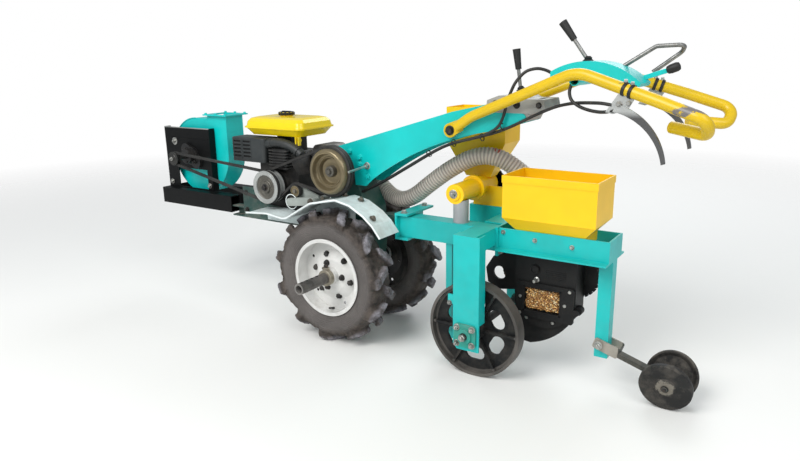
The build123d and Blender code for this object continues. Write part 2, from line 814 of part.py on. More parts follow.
# Near fender: a pressed sheet that arches over the wheel, with a skirt down to the rail
# Its arch over the tyre: degrees forward of upright, and the gap above the tread
fender_arch = [
    (44, 26), (40, 15), (30, 11), (20, 15), (11, 25), (-2, 33), (-12, 50), (-24, 57), (-36, 59), (-45, 60),
    (-54, 58),
]
fender_line = [(365, rail_top + 13), (262, rail_top + 21)]
for lean, gap in fender_arch:
    reach = tyre_r + gap
    fender_line.append((reach * sin(radians(lean)), axle_z + reach * cos(radians(lean))))
fender_outer = 206.0
fender_wall = 2.5
skirt_line = [(x, z - fender_wall / 2) for x, z in fender_line if x > rail_rear]
with BuildPart() as left_fender:
    with BuildSketch(side(fender_outer)):
        with BuildLine():
            FilletPolyline(*fender_line, radius=9)
            offset(amount=fender_wall, side=Side.LEFT)
        make_face()
    extrude(amount=fender_outer - rail_outer)
    with BuildSketch(side(rail_outer + fender_wall)):
        with BuildLine():
            Polyline(*skirt_line, (skirt_line[-1][0], rail_top - 35), (skirt_line[0][0], rail_top - 35),
                     close=True)
        make_face()
    extrude(amount=fender_wall)
left_fender.part.label = "left_fender"

# Beam: a pressed box that rises from the gearbox to the handles, open below
clamp_front = -540.0
clamp_seat = 818.0
clamp_top = 868.0
beam_rear = -655.0
with BuildPart() as beam:
    with BuildSketch(side(beam_half)):
        with BuildLine():
            top = Polyline((-34, 612), (32, 665), (32, 683), (pivot_x, pivot_z + 56),
                           (clamp_front, clamp_seat + 23), (clamp_front, clamp_seat),
                           (beam_rear, clamp_seat))
            end = ThreePointArc(top @ 1, (beam_rear - 14, clamp_seat - 14), (beam_rear, clamp_seat - 28))
            under = Line(end @ 1, (-560, 762))
            curve = ThreePointArc(under @ 1, (-260, 664), (-112, 575))
            Polyline(curve @ 1, (-86, 551), (-40, 551), (-34, 612))
        make_face()
    extrude(amount=beam_half * 2)
    with BuildSketch(side(beam_half - beam_wall)):
        with BuildLine():
            Polyline((40, 480), (40, 681), (pivot_x, pivot_z + 52),
                     (clamp_front + beam_wall, clamp_seat + 18), (clamp_front + beam_wall, clamp_top),
                     (-760, clamp_top), (-760, 480), close=True)
        make_face()
    extrude(amount=beam_half * 2 - beam_wall * 2, mode=Mode.SUBTRACT)
    with BuildSketch(side(beam_half + 14)):
        with Locations((pivot_x, pivot_z)):
            Circle(pivot_pin_r)
    extrude(amount=beam_half * 2 + 28)
beam.part.label = "beam"

# Casting that clamps the handles' crosspiece at the beam's rear end
with BuildPart() as beam_clamp:
    with BuildSketch(side(beam_half)):
        with BuildLine():
            outline = Polyline(
                (clamp_front, clamp_seat), (clamp_front - 4, clamp_top - 14), (clamp_front - 42, clamp_top),
                (clamp_front - 112, clamp_top), (clamp_front - 130, clamp_top - 9),
                (clamp_front - 182, clamp_top - 9),
                (clamp_front - 188, clamp_seat + 14), (clamp_front - 148, clamp_seat), close=True)
            fillet(outline.vertices(), radius=4)
        make_face()
    extrude(amount=beam_half * 2)
    with BuildSketch(side(beam_half - beam_wall)):
        with BuildLine():
            Polyline((clamp_front - 2, clamp_seat + 1), (clamp_front - 140, clamp_seat + 1),
                     (clamp_front - 128, clamp_seat - 24), (clamp_front - 16, clamp_seat - 34), close=True)
        make_face()
    extrude(amount=beam_half * 2 - beam_wall * 2)
    with BuildSketch(level(clamp_top + 1)):
        with Locations((clamp_front - 28, 0), (clamp_front - 160, 0)):
            SlotOverall(60, 16, rotation=90)
    extrude(amount=-22, mode=Mode.SUBTRACT)
beam_clamp.part.label = "beam_clamp"

# Handles: a flattened eye at the pivot, a long bent tube and a hairpin grip
grip_end = handle_r - rear_reach
handle_points = [
    (pivot_x - 26, 79, 771), (-500, 82, 804), (-838, 128, 938), (-1060, 172, 868),
    (grip_end, 196, 828), (grip_end + 6, 150, 790), (-1078, 94, 800),
]
handle_radii = [160, 110, 200, 30, 30]

with BuildPart() as left_handle:
    bar(handle_points, handle_radii, handle_r)
    with BuildSketch(side(beam_half + 14)):
        with Locations((pivot_x, pivot_z)):
            Circle(22)
        with BuildLine():
            Polyline((pivot_x + 4, pivot_z + 22), (pivot_x - 40, pivot_z + 38), (pivot_x - 40, pivot_z),
                     (pivot_x - 4, pivot_z - 21), close=True)
        make_face()
    extrude(amount=14)
    with BuildSketch(side(beam_half + 14)):
        with Locations((pivot_x, pivot_z)):
            Circle(pivot_pin_r)
    extrude(amount=15, mode=Mode.SUBTRACT)
left_handle.part.label = "left_handle"

with BuildPart() as right_handle:
    mirror(left_handle.part, about=Plane.XZ)
right_handle.part.label = "right_handle"

# Console: a teal cover between the handles, on a cross tube
with BuildPart() as console:
    with BuildSketch(side(console_half)):
        with BuildLine():
            top = ThreePointArc((-735, 936), (-840, 964), (-985, 905))
            Polyline(top @ 1, (-980, 896), (-860, 906), (-735, 915), top @ 0)
        make_face()
    extrude(amount=console_half * 2)
    with BuildSketch(side(console_half - console_wall)):
        with BuildLine():
            top = ThreePointArc((-738, 933), (-840, 961), (-980, 903))
            Polyline(top @ 1, (-976, 880), (-738, 880), top @ 0)
        make_face()
    extrude(amount=(console_half - console_wall) * 2, mode=Mode.SUBTRACT)
    with BuildSketch(side(console_bar_half)):
        with Locations((-826, 914)):
            Circle(14)
            Circle(11, mode=Mode.SUBTRACT)
    extrude(amount=console_bar_half * 2)
    add(left_handle.part, mode=Mode.SUBTRACT)
    add(right_handle.part, mode=Mode.SUBTRACT)
console.part.label = "console"

# Shift levers with their grips
lever_rows = [
    (-824, 0, 964.6, -746, 1070),
    (-609, -40, clamp_top, -590, 1000),
]
with BuildPart() as shift_levers:
    for foot_x, y, foot_z, tip_x, tip_z in lever_rows:
        foot = place(foot_x, y, foot_z)
        tip = place(tip_x, y, tip_z)
        along = (tip - foot).normalized()
        with BuildSketch(Plane(origin=foot)):
            Circle(5)
        extrude(amount=(tip - foot).length - 50, dir=along)
        with BuildSketch(Plane(origin=tip - along * 60, z_dir=along)):
            Circle(9)
        with BuildSketch(Plane(origin=tip, z_dir=along)):
            Circle(12)
        loft()
shift_levers.part.label = "shift_levers"

# Bent grey rod loop of the main clutch
with BuildPart() as clutch_loop:
    bar([(-905, -40, 944), (-990, -60, 1000), (-1062, -70, 1003), (-1048, -110, 985), (-975, -104, 930)],
        [26, 16, 16], 6)
    with BuildSketch(side(console_half)):
        with BuildLine():
            top = ThreePointArc((-735, 936), (-840, 964), (-985, 905))
            Polyline(top @ 1, (-985, 800), (-735, 800), top @ 0)
        make_face()
    extrude(amount=console_half * 2, mode=Mode.SUBTRACT)
clutch_loop.part.label = "clutch_loop"

# Steering clutch levers under the grips: clamp bracket and curved blade
lever_out = 166.0
with BuildPart() as hand_levers:
    for hand in (1, -1):
        with BuildSketch(side(hand * lever_out)):
            with BuildLine():
                back_edge = ThreePointArc((-956, 860), (-1031, 818), (-1084, 716))
                blade_end = Line(back_edge @ 1, (-1075, 713))
                grip_edge = ThreePointArc(blade_end @ 1, (-1020, 806), (-948, 840))
                Line(grip_edge @ 1, back_edge @ 0)
            make_face()
        extrude(amount=hand * 10)
        with BuildSketch(side(hand * (lever_out - 5))):
            with BuildLine():
                Polyline((-928, 838), (-962, 890), (-1004, 882), (-984, 845), (-948, 834), close=True)
            make_face()
        extrude(amount=hand * 5)
        add(left_handle.part if hand > 0 else right_handle.part, mode=Mode.SUBTRACT)
hand_levers.part.label = "hand_levers"

# Toolbar: hitch channel, main tube with its end plate, cross tube, far channel
toolbar_bottom = toolbar_top - tube_height
with BuildPart() as hitch_channel:
    with BuildSketch(side(hitch_half)):
        with BuildLine():
            Polyline(
                (hitch_rear, toolbar_top + 7), (hitch_front, toolbar_top + 7),
                (hitch_front, toolbar_bottom - 3),
                (hitch_rear, toolbar_bottom - 3), (hitch_rear, toolbar_bottom + 4),
                (hitch_front - 7, toolbar_bottom + 4), (hitch_front - 7, toolbar_top),
                (hitch_rear, toolbar_top), close=True)
        make_face()
    extrude(amount=hitch_half * 2)
hitch_channel.part.label = "hitch_channel"

main_far = main_near - main_width
with BuildPart() as main_tube:
    with BuildSketch(cross(main_rear)):
        with Locations(((main_near + main_far) / 2, (toolbar_top + toolbar_bottom) / 2)):
            Rectangle(main_width, tube_height - 10)
            Rectangle(main_width - tube_wall * 2, tube_height - 10 - tube_wall * 2, mode=Mode.SUBTRACT)
    extrude(amount=hitch_front - 7 - main_rear)
    with BuildSketch(cross(main_rear)):
        with Locations(((rail_web_y - 50) / 2 + 4, 424)):
            Rectangle(rail_web_y + 58, 92)
        with Locations((rail_web_y - 4, 456), (rail_web_y - 4, 392), (-42, 456), (-42, 392)):
            Circle(5, mode=Mode.SUBTRACT)
    extrude(amount=-8)
main_tube.part.label = "main_tube"

cross_height = 56.0
with BuildPart() as cross_tube:
    for start, stop in ((leg_outer - leg_wall, main_near), (main_far, far_near)):
        with BuildSketch(side(start)):
            with Locations(((leg_front - leg_wall + main_rear) / 2, toolbar_top - cross_height / 2)):
                Rectangle(leg_front - leg_wall - main_rear, cross_height)
                Rectangle(leg_front - leg_wall - main_rear - 8, cross_height - 8, mode=Mode.SUBTRACT)
        extrude(amount=start - stop)
cross_tube.part.label = "cross_tube"

# Far channel, with the flat bar down to the gauge wheel shaft's other bearing
hanger_y = far_near - far_width
with BuildPart() as far_channel:
    with BuildSketch(cross(far_rear)):
        with Locations((far_near - far_width / 2, far_top - 35)):
            Rectangle(far_width, 70)
            Rectangle(far_width - tube_wall * 2, 70 - tube_wall * 2, mode=Mode.SUBTRACT)
    extrude(amount=far_front - far_rear)
    with BuildSketch(side(hanger_y)):
        with BuildLine():
            Polyline((leg_front - 8, far_top), (leg_rear + 8, far_top), (leg_rear + 8, gauge_z - 42),
                     (leg_front - 8, gauge_z - 42), close=True)
        make_face()
        with Locations((gauge_x, gauge_z)):
            Circle(gauge_shaft_r + 6, mode=Mode.SUBTRACT)
    extrude(amount=leg_wall)
far_channel.part.label = "far_channel"

# Near leg: a channel open to the rear at its foot, with a bearing pad for the gauge wheel
with BuildPart() as wheel_leg:
    with BuildSketch(level(gauge_z + 36)):
        with BuildLine():
            Polyline(
                (leg_front, leg_outer), (leg_rear, leg_outer), (leg_rear, leg_outer - 40),
                (leg_rear + leg_wall, leg_outer - 40), (leg_rear + leg_wall, leg_outer - leg_wall),
                (leg_front - leg_wall, leg_outer - leg_wall), (leg_front - leg_wall, leg_outer - 40),
                (leg_front, leg_outer - 40), close=True)
        make_face()
    extrude(amount=toolbar_top - gauge_z - 36)
    with BuildSketch(side(leg_outer)):
        with BuildLine():
            Polyline((leg_front, gauge_z + 46), (leg_front, gauge_z - 34), (leg_front - 14, gauge_z - 50),
                     (leg_rear, gauge_z - 50), (leg_rear, gauge_z + 46), close=True)
        make_face()
        with Locations((gauge_x, gauge_z)):
            Circle(gauge_shaft_r + 6, mode=Mode.SUBTRACT)
    extrude(amount=leg_wall)
    with BuildSketch(side(leg_outer - 2)):
        with Locations((leg_front + 9, gauge_z + 108)):
            Rectangle(20, 30)
    extrude(amount=leg_wall)
wheel_leg.part.label = "wheel_leg"

# Flange bearings: on the leg and on the hanger for the gauge wheel, on the stand for the fan
with BuildPart() as flange_bearings:
    with BuildSketch(side(stand_near)):
        with Locations((fan_x, fan_z)):
            SlotOverall(128, 56, rotation=40)
            Circle(38)
            Circle(fan_shaft_r + running_gap, mode=Mode.SUBTRACT)
    extrude(amount=-12)
    with BuildSketch(side(stand_near + 12)):
        with Locations((fan_x, fan_z)):
            Circle(30)
            Circle(fan_shaft_r + running_gap, mode=Mode.SUBTRACT)
    extrude(amount=-24)
    for y, amount in ((leg_outer, -1), (hanger_y - leg_wall, 1)):
        with BuildSketch(side(y)):
            with Locations((gauge_x, gauge_z)):
                RectangleRounded(74, 74, 12)
                with GridLocations(52, 52, 2, 2):
                    Circle(4.5, mode=Mode.SUBTRACT)
                Circle(gauge_shaft_r + running_gap, mode=Mode.SUBTRACT)
        extrude(amount=amount * 9)
        with BuildSketch(side(y - amount * 9)):
            with Locations((gauge_x, gauge_z)):
                Circle(24)
                Circle(gauge_shaft_r + running_gap, mode=Mode.SUBTRACT)
        extrude(amount=amount * 6)
flange_bearings.part.label = "flange_bearings"

# Gauge wheel: cast rim, dished web with windows and ribs, hub and the through shaft
spoke_count = 6
with BuildPart() as gauge_wheel:
    with BuildSketch(spin_plane(gauge_x, gauge_z)):
        with Locations((gauge_near - gauge_width / 2, gauge_r - gauge_rim / 2)):
            Rectangle(gauge_width, gauge_rim)
        with Locations((gauge_near - gauge_width / 2, gauge_r / 2)):
            Rectangle(gauge_web, gauge_r - 4)
        with Locations((gauge_near - gauge_width / 2, 17)):
            Rectangle(gauge_width + 16, 34)
        with Locations(((gauge_shaft_near + gauge_shaft_far) / 2, gauge_shaft_r / 2)):
            Rectangle(gauge_shaft_near - gauge_shaft_far, gauge_shaft_r)
    revolve(axis=spin_axis(gauge_x, gauge_z))
    with BuildSketch(side(gauge_near)):
        with Locations((gauge_x, gauge_z)):
            with PolarLocations(84, spoke_count, start_angle=30):
                SlotOverall(66, 44, rotation=90)
    extrude(amount=gauge_width, mode=Mode.SUBTRACT)
    with BuildSketch(side(gauge_near - 6)):
        with Locations((gauge_x, gauge_z)):
            with PolarLocations(84, spoke_count):
                Rectangle(126, 8)
            Circle(30, mode=Mode.SUBTRACT)
    extrude(amount=gauge_width - 12)
gauge_wheel.part.label = "gauge_wheel"

# Angles that carry the seed hopper, one each side, with the end leg at the rear
with BuildPart() as hopper_rails:
    for hand in (1, -1):
        with BuildSketch(cross(main_rear - 8)):
            with BuildLine():
                Polyline(
                    (hand * rail_web_y, toolbar_top), (hand * (rail_web_y - angle_wall), toolbar_top),
                    (hand * (rail_web_y - angle_wall), hopper_rail_bottom),
                    (hand * (rail_web_y + angle_flange), hopper_rail_bottom),
                    (hand * (rail_web_y + angle_flange), hopper_rail_bottom + angle_wall),
                    (hand * rail_web_y, hopper_rail_bottom + angle_wall), close=True)
            make_face()
        extrude(amount=hopper_rail_rear - main_rear + 8)
hopper_rails.part.label = "hopper_rails"

# Rear leg: an angle that ties the rails together and carries the press wheels' arm
rail_gap = rail_web_y - angle_wall
with BuildPart() as rear_leg:
    with BuildSketch(cross(hopper_rail_rear)):
        with Locations((0, (toolbar_top + hopper_rail_bottom) / 2)):
            Rectangle(rail_gap * 2, toolbar_top - hopper_rail_bottom)
    extrude(amount=6)
    with BuildSketch(level(rear_leg_bottom)):
        with BuildLine():
            Polyline(
                (hopper_rail_rear, rear_leg_y), (hopper_rail_rear + 40, rear_leg_y),
                (hopper_rail_rear + 40, rear_leg_y - 6), (hopper_rail_rear + 6, rear_leg_y - 6),
                (hopper_rail_rear + 6, rear_leg_y - 40), (hopper_rail_rear, rear_leg_y - 40), close=True)
        make_face()
    extrude(amount=hopper_rail_bottom - rear_leg_bottom + 20)
    with BuildSketch(side(rear_leg_y + 1)):
        with Locations((press_pivot_x, press_pivot_z)):
            Circle(8 + running_gap)
    extrude(amount=10, mode=Mode.SUBTRACT)
rear_leg.part.label = "rear_leg"

# Seed hopper: a folded sheet box with a tapered bottom, open at the top
hopper_length = hopper_front - hopper_rear
hopper_mid = (hopper_front + hopper_rear) / 2
with BuildPart() as seed_hopper:
    for inset, mode in ((0.0, Mode.ADD), (sheet, Mode.SUBTRACT)):
        with BuildSketch(level(hopper_bottom + inset)):
            with Locations((hopper_mid, 0)):
                Rectangle(hopper_length - (hopper_taper + inset) * 2, rail_gap * 2 - 0.6 - inset * 2)
        extrude(amount=toolbar_top - hopper_bottom - inset, mode=mode)
        with BuildSketch(level(toolbar_top)):
            with Locations((hopper_mid, 0)):
                Rectangle(hopper_length - (hopper_taper + inset) * 2, rail_gap * 2 - 0.6 - inset * 2)
        with BuildSketch(level(hopper_shoulder)):
            with Locations((hopper_mid, 0)):
                Rectangle(hopper_length - inset * 2, hopper_half * 2 - inset * 2)
        loft(ruled=True, mode=mode)
        with BuildSketch(level(hopper_shoulder)):
            with Locations((hopper_mid, 0)):
                Rectangle(hopper_length - inset * 2, hopper_half * 2 - inset * 2)
        extrude(amount=hopper_top - hopper_shoulder + inset, mode=mode)
    with BuildSketch(level(hopper_top - 22)):
        with Locations((hopper_mid, 0)):
            Rectangle(hopper_length + 4, hopper_half * 2 + 4)
            Rectangle(hopper_length - 1, hopper_half * 2 - 1, mode=Mode.SUBTRACT)
    extrude(amount=22)
seed_hopper.part.label = "seed_hopper"

# Seed meter: a moulded case with a rounded skirt, hung between the rails
with BuildPart() as seed_meter:
    with BuildSketch(side(meter_near)):
        with BuildLine():
            top = Polyline((meter_front, 300), (meter_front - 6, meter_top), (meter_rear, meter_top),
                           (meter_rear, meter_bottom + 20), (meter_rear + 30, meter_bottom))
            curve = ThreePointArc(top @ 1, (-740, 160), (meter_front - 6, meter_bottom + 8))
            Line(curve @ 1, top @ 0)
        make_face()
    extrude(amount=meter_near - meter_far)
    with BuildSketch(side(meter_near + meter_frame)):
        with Locations((-743, (meter_bottom + meter_frame_top) / 2)):
            RectangleRounded(186, meter_frame_top - meter_bottom, 9)
    extrude(amount=meter_frame)
    with BuildSketch(side(meter_near - 8)):
        with Locations((meter_rear - 6, 232)):
            Circle(13)
    extrude(amount=24)
    with BuildSketch(side(meter_near + 6)):
        with Locations((-708, 346)):
            Circle(15)
    extrude(amount=6)
    with BuildSketch(side(meter_near + meter_frame)):
        with Locations((window_x, window_z)):
            Rectangle(window_length, window_height)
    extrude(amount=window_depth + meter_frame, mode=Mode.SUBTRACT)
    port = elbow_corner(hose_points[-1], hose_points[-2], 2, meter_port_z)
    bar([(port[0], meter_far + 2, port[2]), port, hose_points[-1]], elbow_bend, elbow_r)
    with BuildSketch(level(meter_top)):
        with Locations((hopper_mid, 0)):
            Rectangle(60, 50)
    extrude(amount=hopper_bottom - meter_top)
    with BuildSketch(side(meter_near - 22)):
        with BuildLine():
            Polyline((meter_front - 2, 377.7), (-580, 377.7), (-556, 360), (-530, 318),
                     (-538, 270), (-580, 252), (meter_front - 2, 262), close=True)
        make_face()
        with Locations((-578, 307)):
            Circle(22, mode=Mode.SUBTRACT)
    extrude(amount=10)
seed_meter.part.label = "seed_meter"

with BuildPart() as meter_window:
    with BuildSketch(side(meter_near + window_pane - window_depth)):
        with Locations((window_x, window_z)):
            Rectangle(window_length, window_height)
    extrude(amount=window_pane)
meter_window.part.label = "meter_window"

# Toothed disc on the meter's far side
tooth_count = 30
gear_x = -808.0
gear_z = 325.0
gear_r = 76.0
with BuildPart() as seed_gear:
    with BuildSketch(side(meter_far)):
        with Locations((gear_x, gear_z)):
            Circle(gear_r - 5)
            with PolarLocations(gear_r - 4, tooth_count):
                Rectangle(9, 7)
    extrude(amount=16)
seed_gear.part.label = "seed_gear"

# Furrow opener under the meter
opener_half = 26.0
with BuildPart() as opener:
    with BuildSketch(side(opener_half)):
        with BuildLine():
            top = Polyline((meter_front, meter_bottom + 12), (meter_front + 10, 150), (-664, 98), (-694, 95))
            curve = ThreePointArc(top @ 1, (-762, 126), (-815, 178))
            Polyline(curve @ 1, (-815, meter_bottom + 12), top @ 0)
        make_face()
    extrude(amount=opener_half * 2)
    add(seed_meter.part, mode=Mode.SUBTRACT)
opener.part.label = "opener"

# Fertiliser metering barrel across the machine, with its bracket on the far channel
with BuildPart() as fert_meter:
    with BuildSketch(side(fert_near)):
        with Locations((fert_x, fert_z)):
            Circle(fert_r)
    extrude(amount=fert_near - fert_far)
    with BuildSketch(side(fert_near + 4)):
        with Locations((fert_x, fert_z)):
            Circle(20)
    extrude(amount=4)
    with BuildSketch(side(-60)):
        with Locations((fert_x, fert_z)):
            Circle(fert_r + 10)
    extrude(amount=14)
    with BuildSketch(side(far_near - 8)):
        with BuildLine():
            Polyline((fert_x + 26, fert_z), (fert_x + 26, far_top), (fert_x - 100, far_top),
                     (fert_x - 80, fert_z), close=True)
        make_face()
    extrude(amount=6)
    with BuildSketch(level(far_top)):
        with Locations((fert_x - 37, far_near - 28)):
            Rectangle(126, 44)
    extrude(amount=6)
fert_meter.part.label = "fert_meter"

# Fertiliser hopper: square bin over a funnel that stands on the barrel
fert_mid_y = (fert_hopper_near + fert_hopper_far) / 2
with BuildPart() as fert_hopper:
    for inset, mode in ((0.0, Mode.ADD), (sheet, Mode.SUBTRACT)):
        with BuildSketch(level(fert_z + fert_r - 4 - inset)):
            with Locations((fert_x + 14, -152)):
                Rectangle(92 - inset * 2, 50 - inset * 2)
        with BuildSketch(level(fert_shoulder)):
            with Locations((fert_bin_x, fert_mid_y)):
                Rectangle(fert_bin_length - inset * 2, fert_hopper_near - fert_hopper_far - inset * 2)
        loft(ruled=True, mode=mode)
        with BuildSketch(level(fert_shoulder)):
            with Locations((fert_bin_x, fert_mid_y)):
                Rectangle(fert_bin_length - inset * 2, fert_hopper_near - fert_hopper_far - inset * 2)
        extrude(amount=fert_hopper_top - fert_shoulder + inset, mode=mode)
    with BuildSketch(side(0)):
        with Locations((fert_x, fert_z)):
            Circle(fert_r)
    extrude(amount=200, mode=Mode.SUBTRACT)
fert_hopper.part.label = "fert_hopper"

# Grey outlet pipe from the barrel down through the main tube to the fertiliser shank
pipe_x = -447.0
pipe_y = 38.0
pipe_r = 25.0
with BuildPart() as fert_pipe:
    with BuildSketch(level(toolbar_top - 5)):
        with Locations((pipe_x, pipe_y)):
            Circle(pipe_r)
            Circle(pipe_r - 3, mode=Mode.SUBTRACT)
    extrude(amount=fert_z - fert_r + 12 - toolbar_top + 5)
    with BuildSketch(side(100)):
        with Locations((fert_x, fert_z)):
            Circle(fert_r)
    extrude(amount=200, mode=Mode.SUBTRACT)
fert_pipe.part.label = "fert_pipe"

with BuildPart() as fert_shank:
    with BuildSketch(level(toolbar_bottom + 5)):
        with Locations((-415, 38)):
            Rectangle(22, 44)
    extrude(amount=-(toolbar_bottom + 5 - 90))
    with BuildSketch(side(38 + 10)):
        with BuildLine():
            Polyline((-426, 92), (-404, 92), (-390, 60), (-440, 50), close=True)
        make_face()
    extrude(amount=20)
fert_shank.part.label = "fert_shank"

# Chain from the gauge wheel's shaft up to the metering barrel, and its two sprockets
chain_circles = [
    (fert_x, fert_z, sprocket_up_r, 1),
    (gauge_x, gauge_z, sprocket_low_r, 1),
]
chain_thick = 9.0
with BuildPart() as fert_chain:
    with BuildSketch(side(chain_y + 5)):
        with BuildLine():
            belt_edges(grown(chain_circles, chain_thick))
        make_face()
        with BuildLine():
            belt_edges(grown(chain_circles, 0.3))
        make_face(mode=Mode.SUBTRACT)
    extrude(amount=10)
fert_chain.part.label = "fert_chain"

with BuildPart() as sprockets:
    with BuildSketch(side(chain_y + 2)):
        with Locations((fert_x, fert_z)):
            Circle(sprocket_up_r)
        with Locations((gauge_x, gauge_z)):
            Circle(sprocket_low_r)
            Circle(gauge_shaft_r + running_gap, mode=Mode.SUBTRACT)
    extrude(amount=4)
    with BuildSketch(side(fert_far)):
        with Locations((fert_x, fert_z)):
            Circle(10)
    extrude(amount=fert_far - chain_y + 6)
sprockets.part.label = "sprockets"

# Press wheels' arm: bracket on the leg's pivot, sloping bar and the two cambered stubs
press_z = ground + press_r * cos(radians(press_camber)) + press_thick / 2 * sin(radians(press_camber))
arm_reach = hypot(press_x - press_pivot_x, press_z - press_pivot_z)
arm_dir = (press_x - press_pivot_x, 0, press_z - press_pivot_z)
clevis_near = rear_leg_y + 6
clevis_far = rear_leg_y - 41
clevis_wall = 5.0
clevis_length = 62.0
clevis_half = 17.0


def along_arm(y):
    """A plane along the press wheels' arm at y: x from the pivot to the wheels, y down across it."""
    return Plane(origin=place(press_pivot_x, y, press_pivot_z), x_dir=arm_dir, z_dir=(0, -1, 0))


with BuildPart() as press_arm:
    for y in (clevis_near, clevis_far):
        with BuildSketch(along_arm(y)):
            with Locations(((clevis_length - clevis_half) / 2, 0)):
                RectangleRounded(clevis_length + clevis_half, clevis_half * 2, 7)
        extrude(amount=clevis_wall)
    with BuildSketch(along_arm(clevis_near)):
        with Locations((clevis_length - clevis_wall / 2, 0)):
            Rectangle(clevis_wall, clevis_half * 2 - 14)
    extrude(amount=clevis_near - clevis_far + clevis_wall)
    with BuildSketch(along_arm(press_mid + 10)):
        with Locations(((clevis_length + arm_reach) / 2 - 1, 0)):
            Rectangle(arm_reach - clevis_length + 2, 14)
    extrude(amount=26)
    with BuildSketch(along_arm(clevis_near + 8)):
        Circle(8)
    extrude(amount=clevis_near - clevis_far + clevis_wall + 16)
    with BuildSketch(side(press_mid + 16)):
        with Locations((press_x, press_z)):
            Circle(13)
    extrude(amount=32)
    for hand in (1, -1):
        tilt = radians(press_camber)
        hub = place(press_x, press_mid + hand * press_half, press_z)
        outward = Vector(0, hand * cos(tilt), -sin(tilt))
        with BuildSketch(Plane(origin=hub - outward * (press_half - 2), z_dir=outward)):
            Circle(press_stub_r)
        extrude(amount=press_half + 14)
press_arm.part.label = "press_arm"


def press_wheel(hand):
    """Draws a cambered press wheel: a dished disc with a rounded rim, bored for its stub."""
    tilt = radians(press_camber)
    outward = Vector(0, hand * cos(tilt), -sin(tilt))
    hub = place(press_x, press_mid + hand * press_half, press_z)
    upright = Vector(0, hand * sin(tilt), cos(tilt))
    half = press_thick / 2
    with BuildSketch(Plane(origin=hub, x_dir=outward, z_dir=outward.cross(upright))) as outline:
        with BuildLine():
            Polyline((-half, press_stub_r + running_gap), (-half, 24), (-3, 30), (-3, press_r - 14),
                     (-half, press_r - 4), (-half, press_r), (half, press_r), (half, press_r - 4),
                     (3, press_r - 14), (3, 30), (half, 24), (half, press_stub_r + running_gap),
                     close=True)
        make_face()
    revolve(outline.sketch, axis=Axis(hub, outward))


with BuildPart() as left_press_wheel:
    press_wheel(1)
left_press_wheel.part.label = "left_press_wheel"

with BuildPart() as right_press_wheel:
    press_wheel(-1)
right_press_wheel.part.label = "right_press_wheel"

# Suction hose: its bends follow from its route
def route_radii(points):
    """The arc at each corner of a route, as large as its two runs allow."""
    radii = []
    for before, corner, after in zip(points, points[1:], points[2:]):
        into = place(*corner) - place(*before)
        out = place(*after) - place(*corner)
        turn = radians(into.get_angle(out))
        radii.append(0.45 * min(into.length, out.length) / tan(turn / 2))
    return radii


with BuildPart() as hose:
    bar(hose_points, route_radii(hose_points), hose_r)
hose.part.label = "hose"
print("hose radii", [round(r) for r in route_radii(hose_points)])

# Control cables, tied along the beam: two that run on to the gearbox, and the thick one to the near lever
cable_r = 4.5
lever_cable = [
    (-944, 158.5, 856), (-915, 153, 860), (-880, 138, 859), (-830, 112, 856), (-775, 88, 845),
    (-725, 74, 826), (-677, 67, 804), (-631, 66, 781), (-585, 66, 762), (-535, 66, 747),
    (-485, 66, 734), (-438, 66, 722), (-392, 66, 704), (-347, 65, 680), (-303, 62, 655),
    (-259, 58, 630), (-221, 53, 609), (-184, 48, 588), (-122, 40, 556), (-60, 36, 527),
]
console_cable = [
    (-742, 34, 926), (-722, 40, 939), (-696, 47, 946), (-664, 57, 939), (-636, 66, 908), (-618, 72, 862),
    (-608, 75, 816), (-594, 76, 780), (-560, 76.5, 757), (-515, 76.5, 742), (-476, 76.5, 732),
    (-438, 76.5, 722), (-392, 76.5, 704), (-347, 75.5, 680), (-303, 72.5, 655), (-259, 69, 630),
    (-221, 65, 609), (-184, 60, 588), (-122, 52, 556), (-60, 48, 527),
]
clutch_cable = [
    (-818, 107, 907), (-813, 112, 884), (-822, 117, 862), (-850, 126, 846),
    (-885, 138, 838), (-918, 149, 836), (-950, 160, 842),
]
with BuildPart() as cables:
    for points in (lever_cable, console_cable, clutch_cable):
        bar(points, route_radii(points), cable_r)
    for neighbour in (hand_levers, console, gearbox):
        add(neighbour.part, mode=Mode.SUBTRACT)
cables.part.label = "cables"

pieces = [
    left_tyre, left_wheel, right_tyre, right_wheel, gearbox, engine_rails, drawbar, engine_block,
    cylinder_head, fuel_tank, air_cleaner, air_duct, recoil_cover, silencer, engine_pulley, gearbox_pulley,
    fan_shaft, tensioner, drive_belt, fan_belt, fan_base, fan_stand, fan_housing, left_fender,
    beam, beam_clamp, left_handle, right_handle, console, shift_levers, clutch_loop, hand_levers,
    hitch_channel, main_tube, cross_tube, far_channel, wheel_leg, flange_bearings, gauge_wheel,
    hopper_rails, rear_leg, seed_hopper, seed_meter, meter_window, seed_gear, opener, fert_meter,
    fert_hopper, fert_pipe, fert_shank, fert_chain, sprockets, press_arm, left_press_wheel,
    right_press_wheel, hose, cables,
]
for piece in pieces:
    export_step(piece.part, f"parts/{piece.part.label}.step")
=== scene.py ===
import math
import bpy
import bmesh
import random
from mathutils import Matrix, Vector, noise


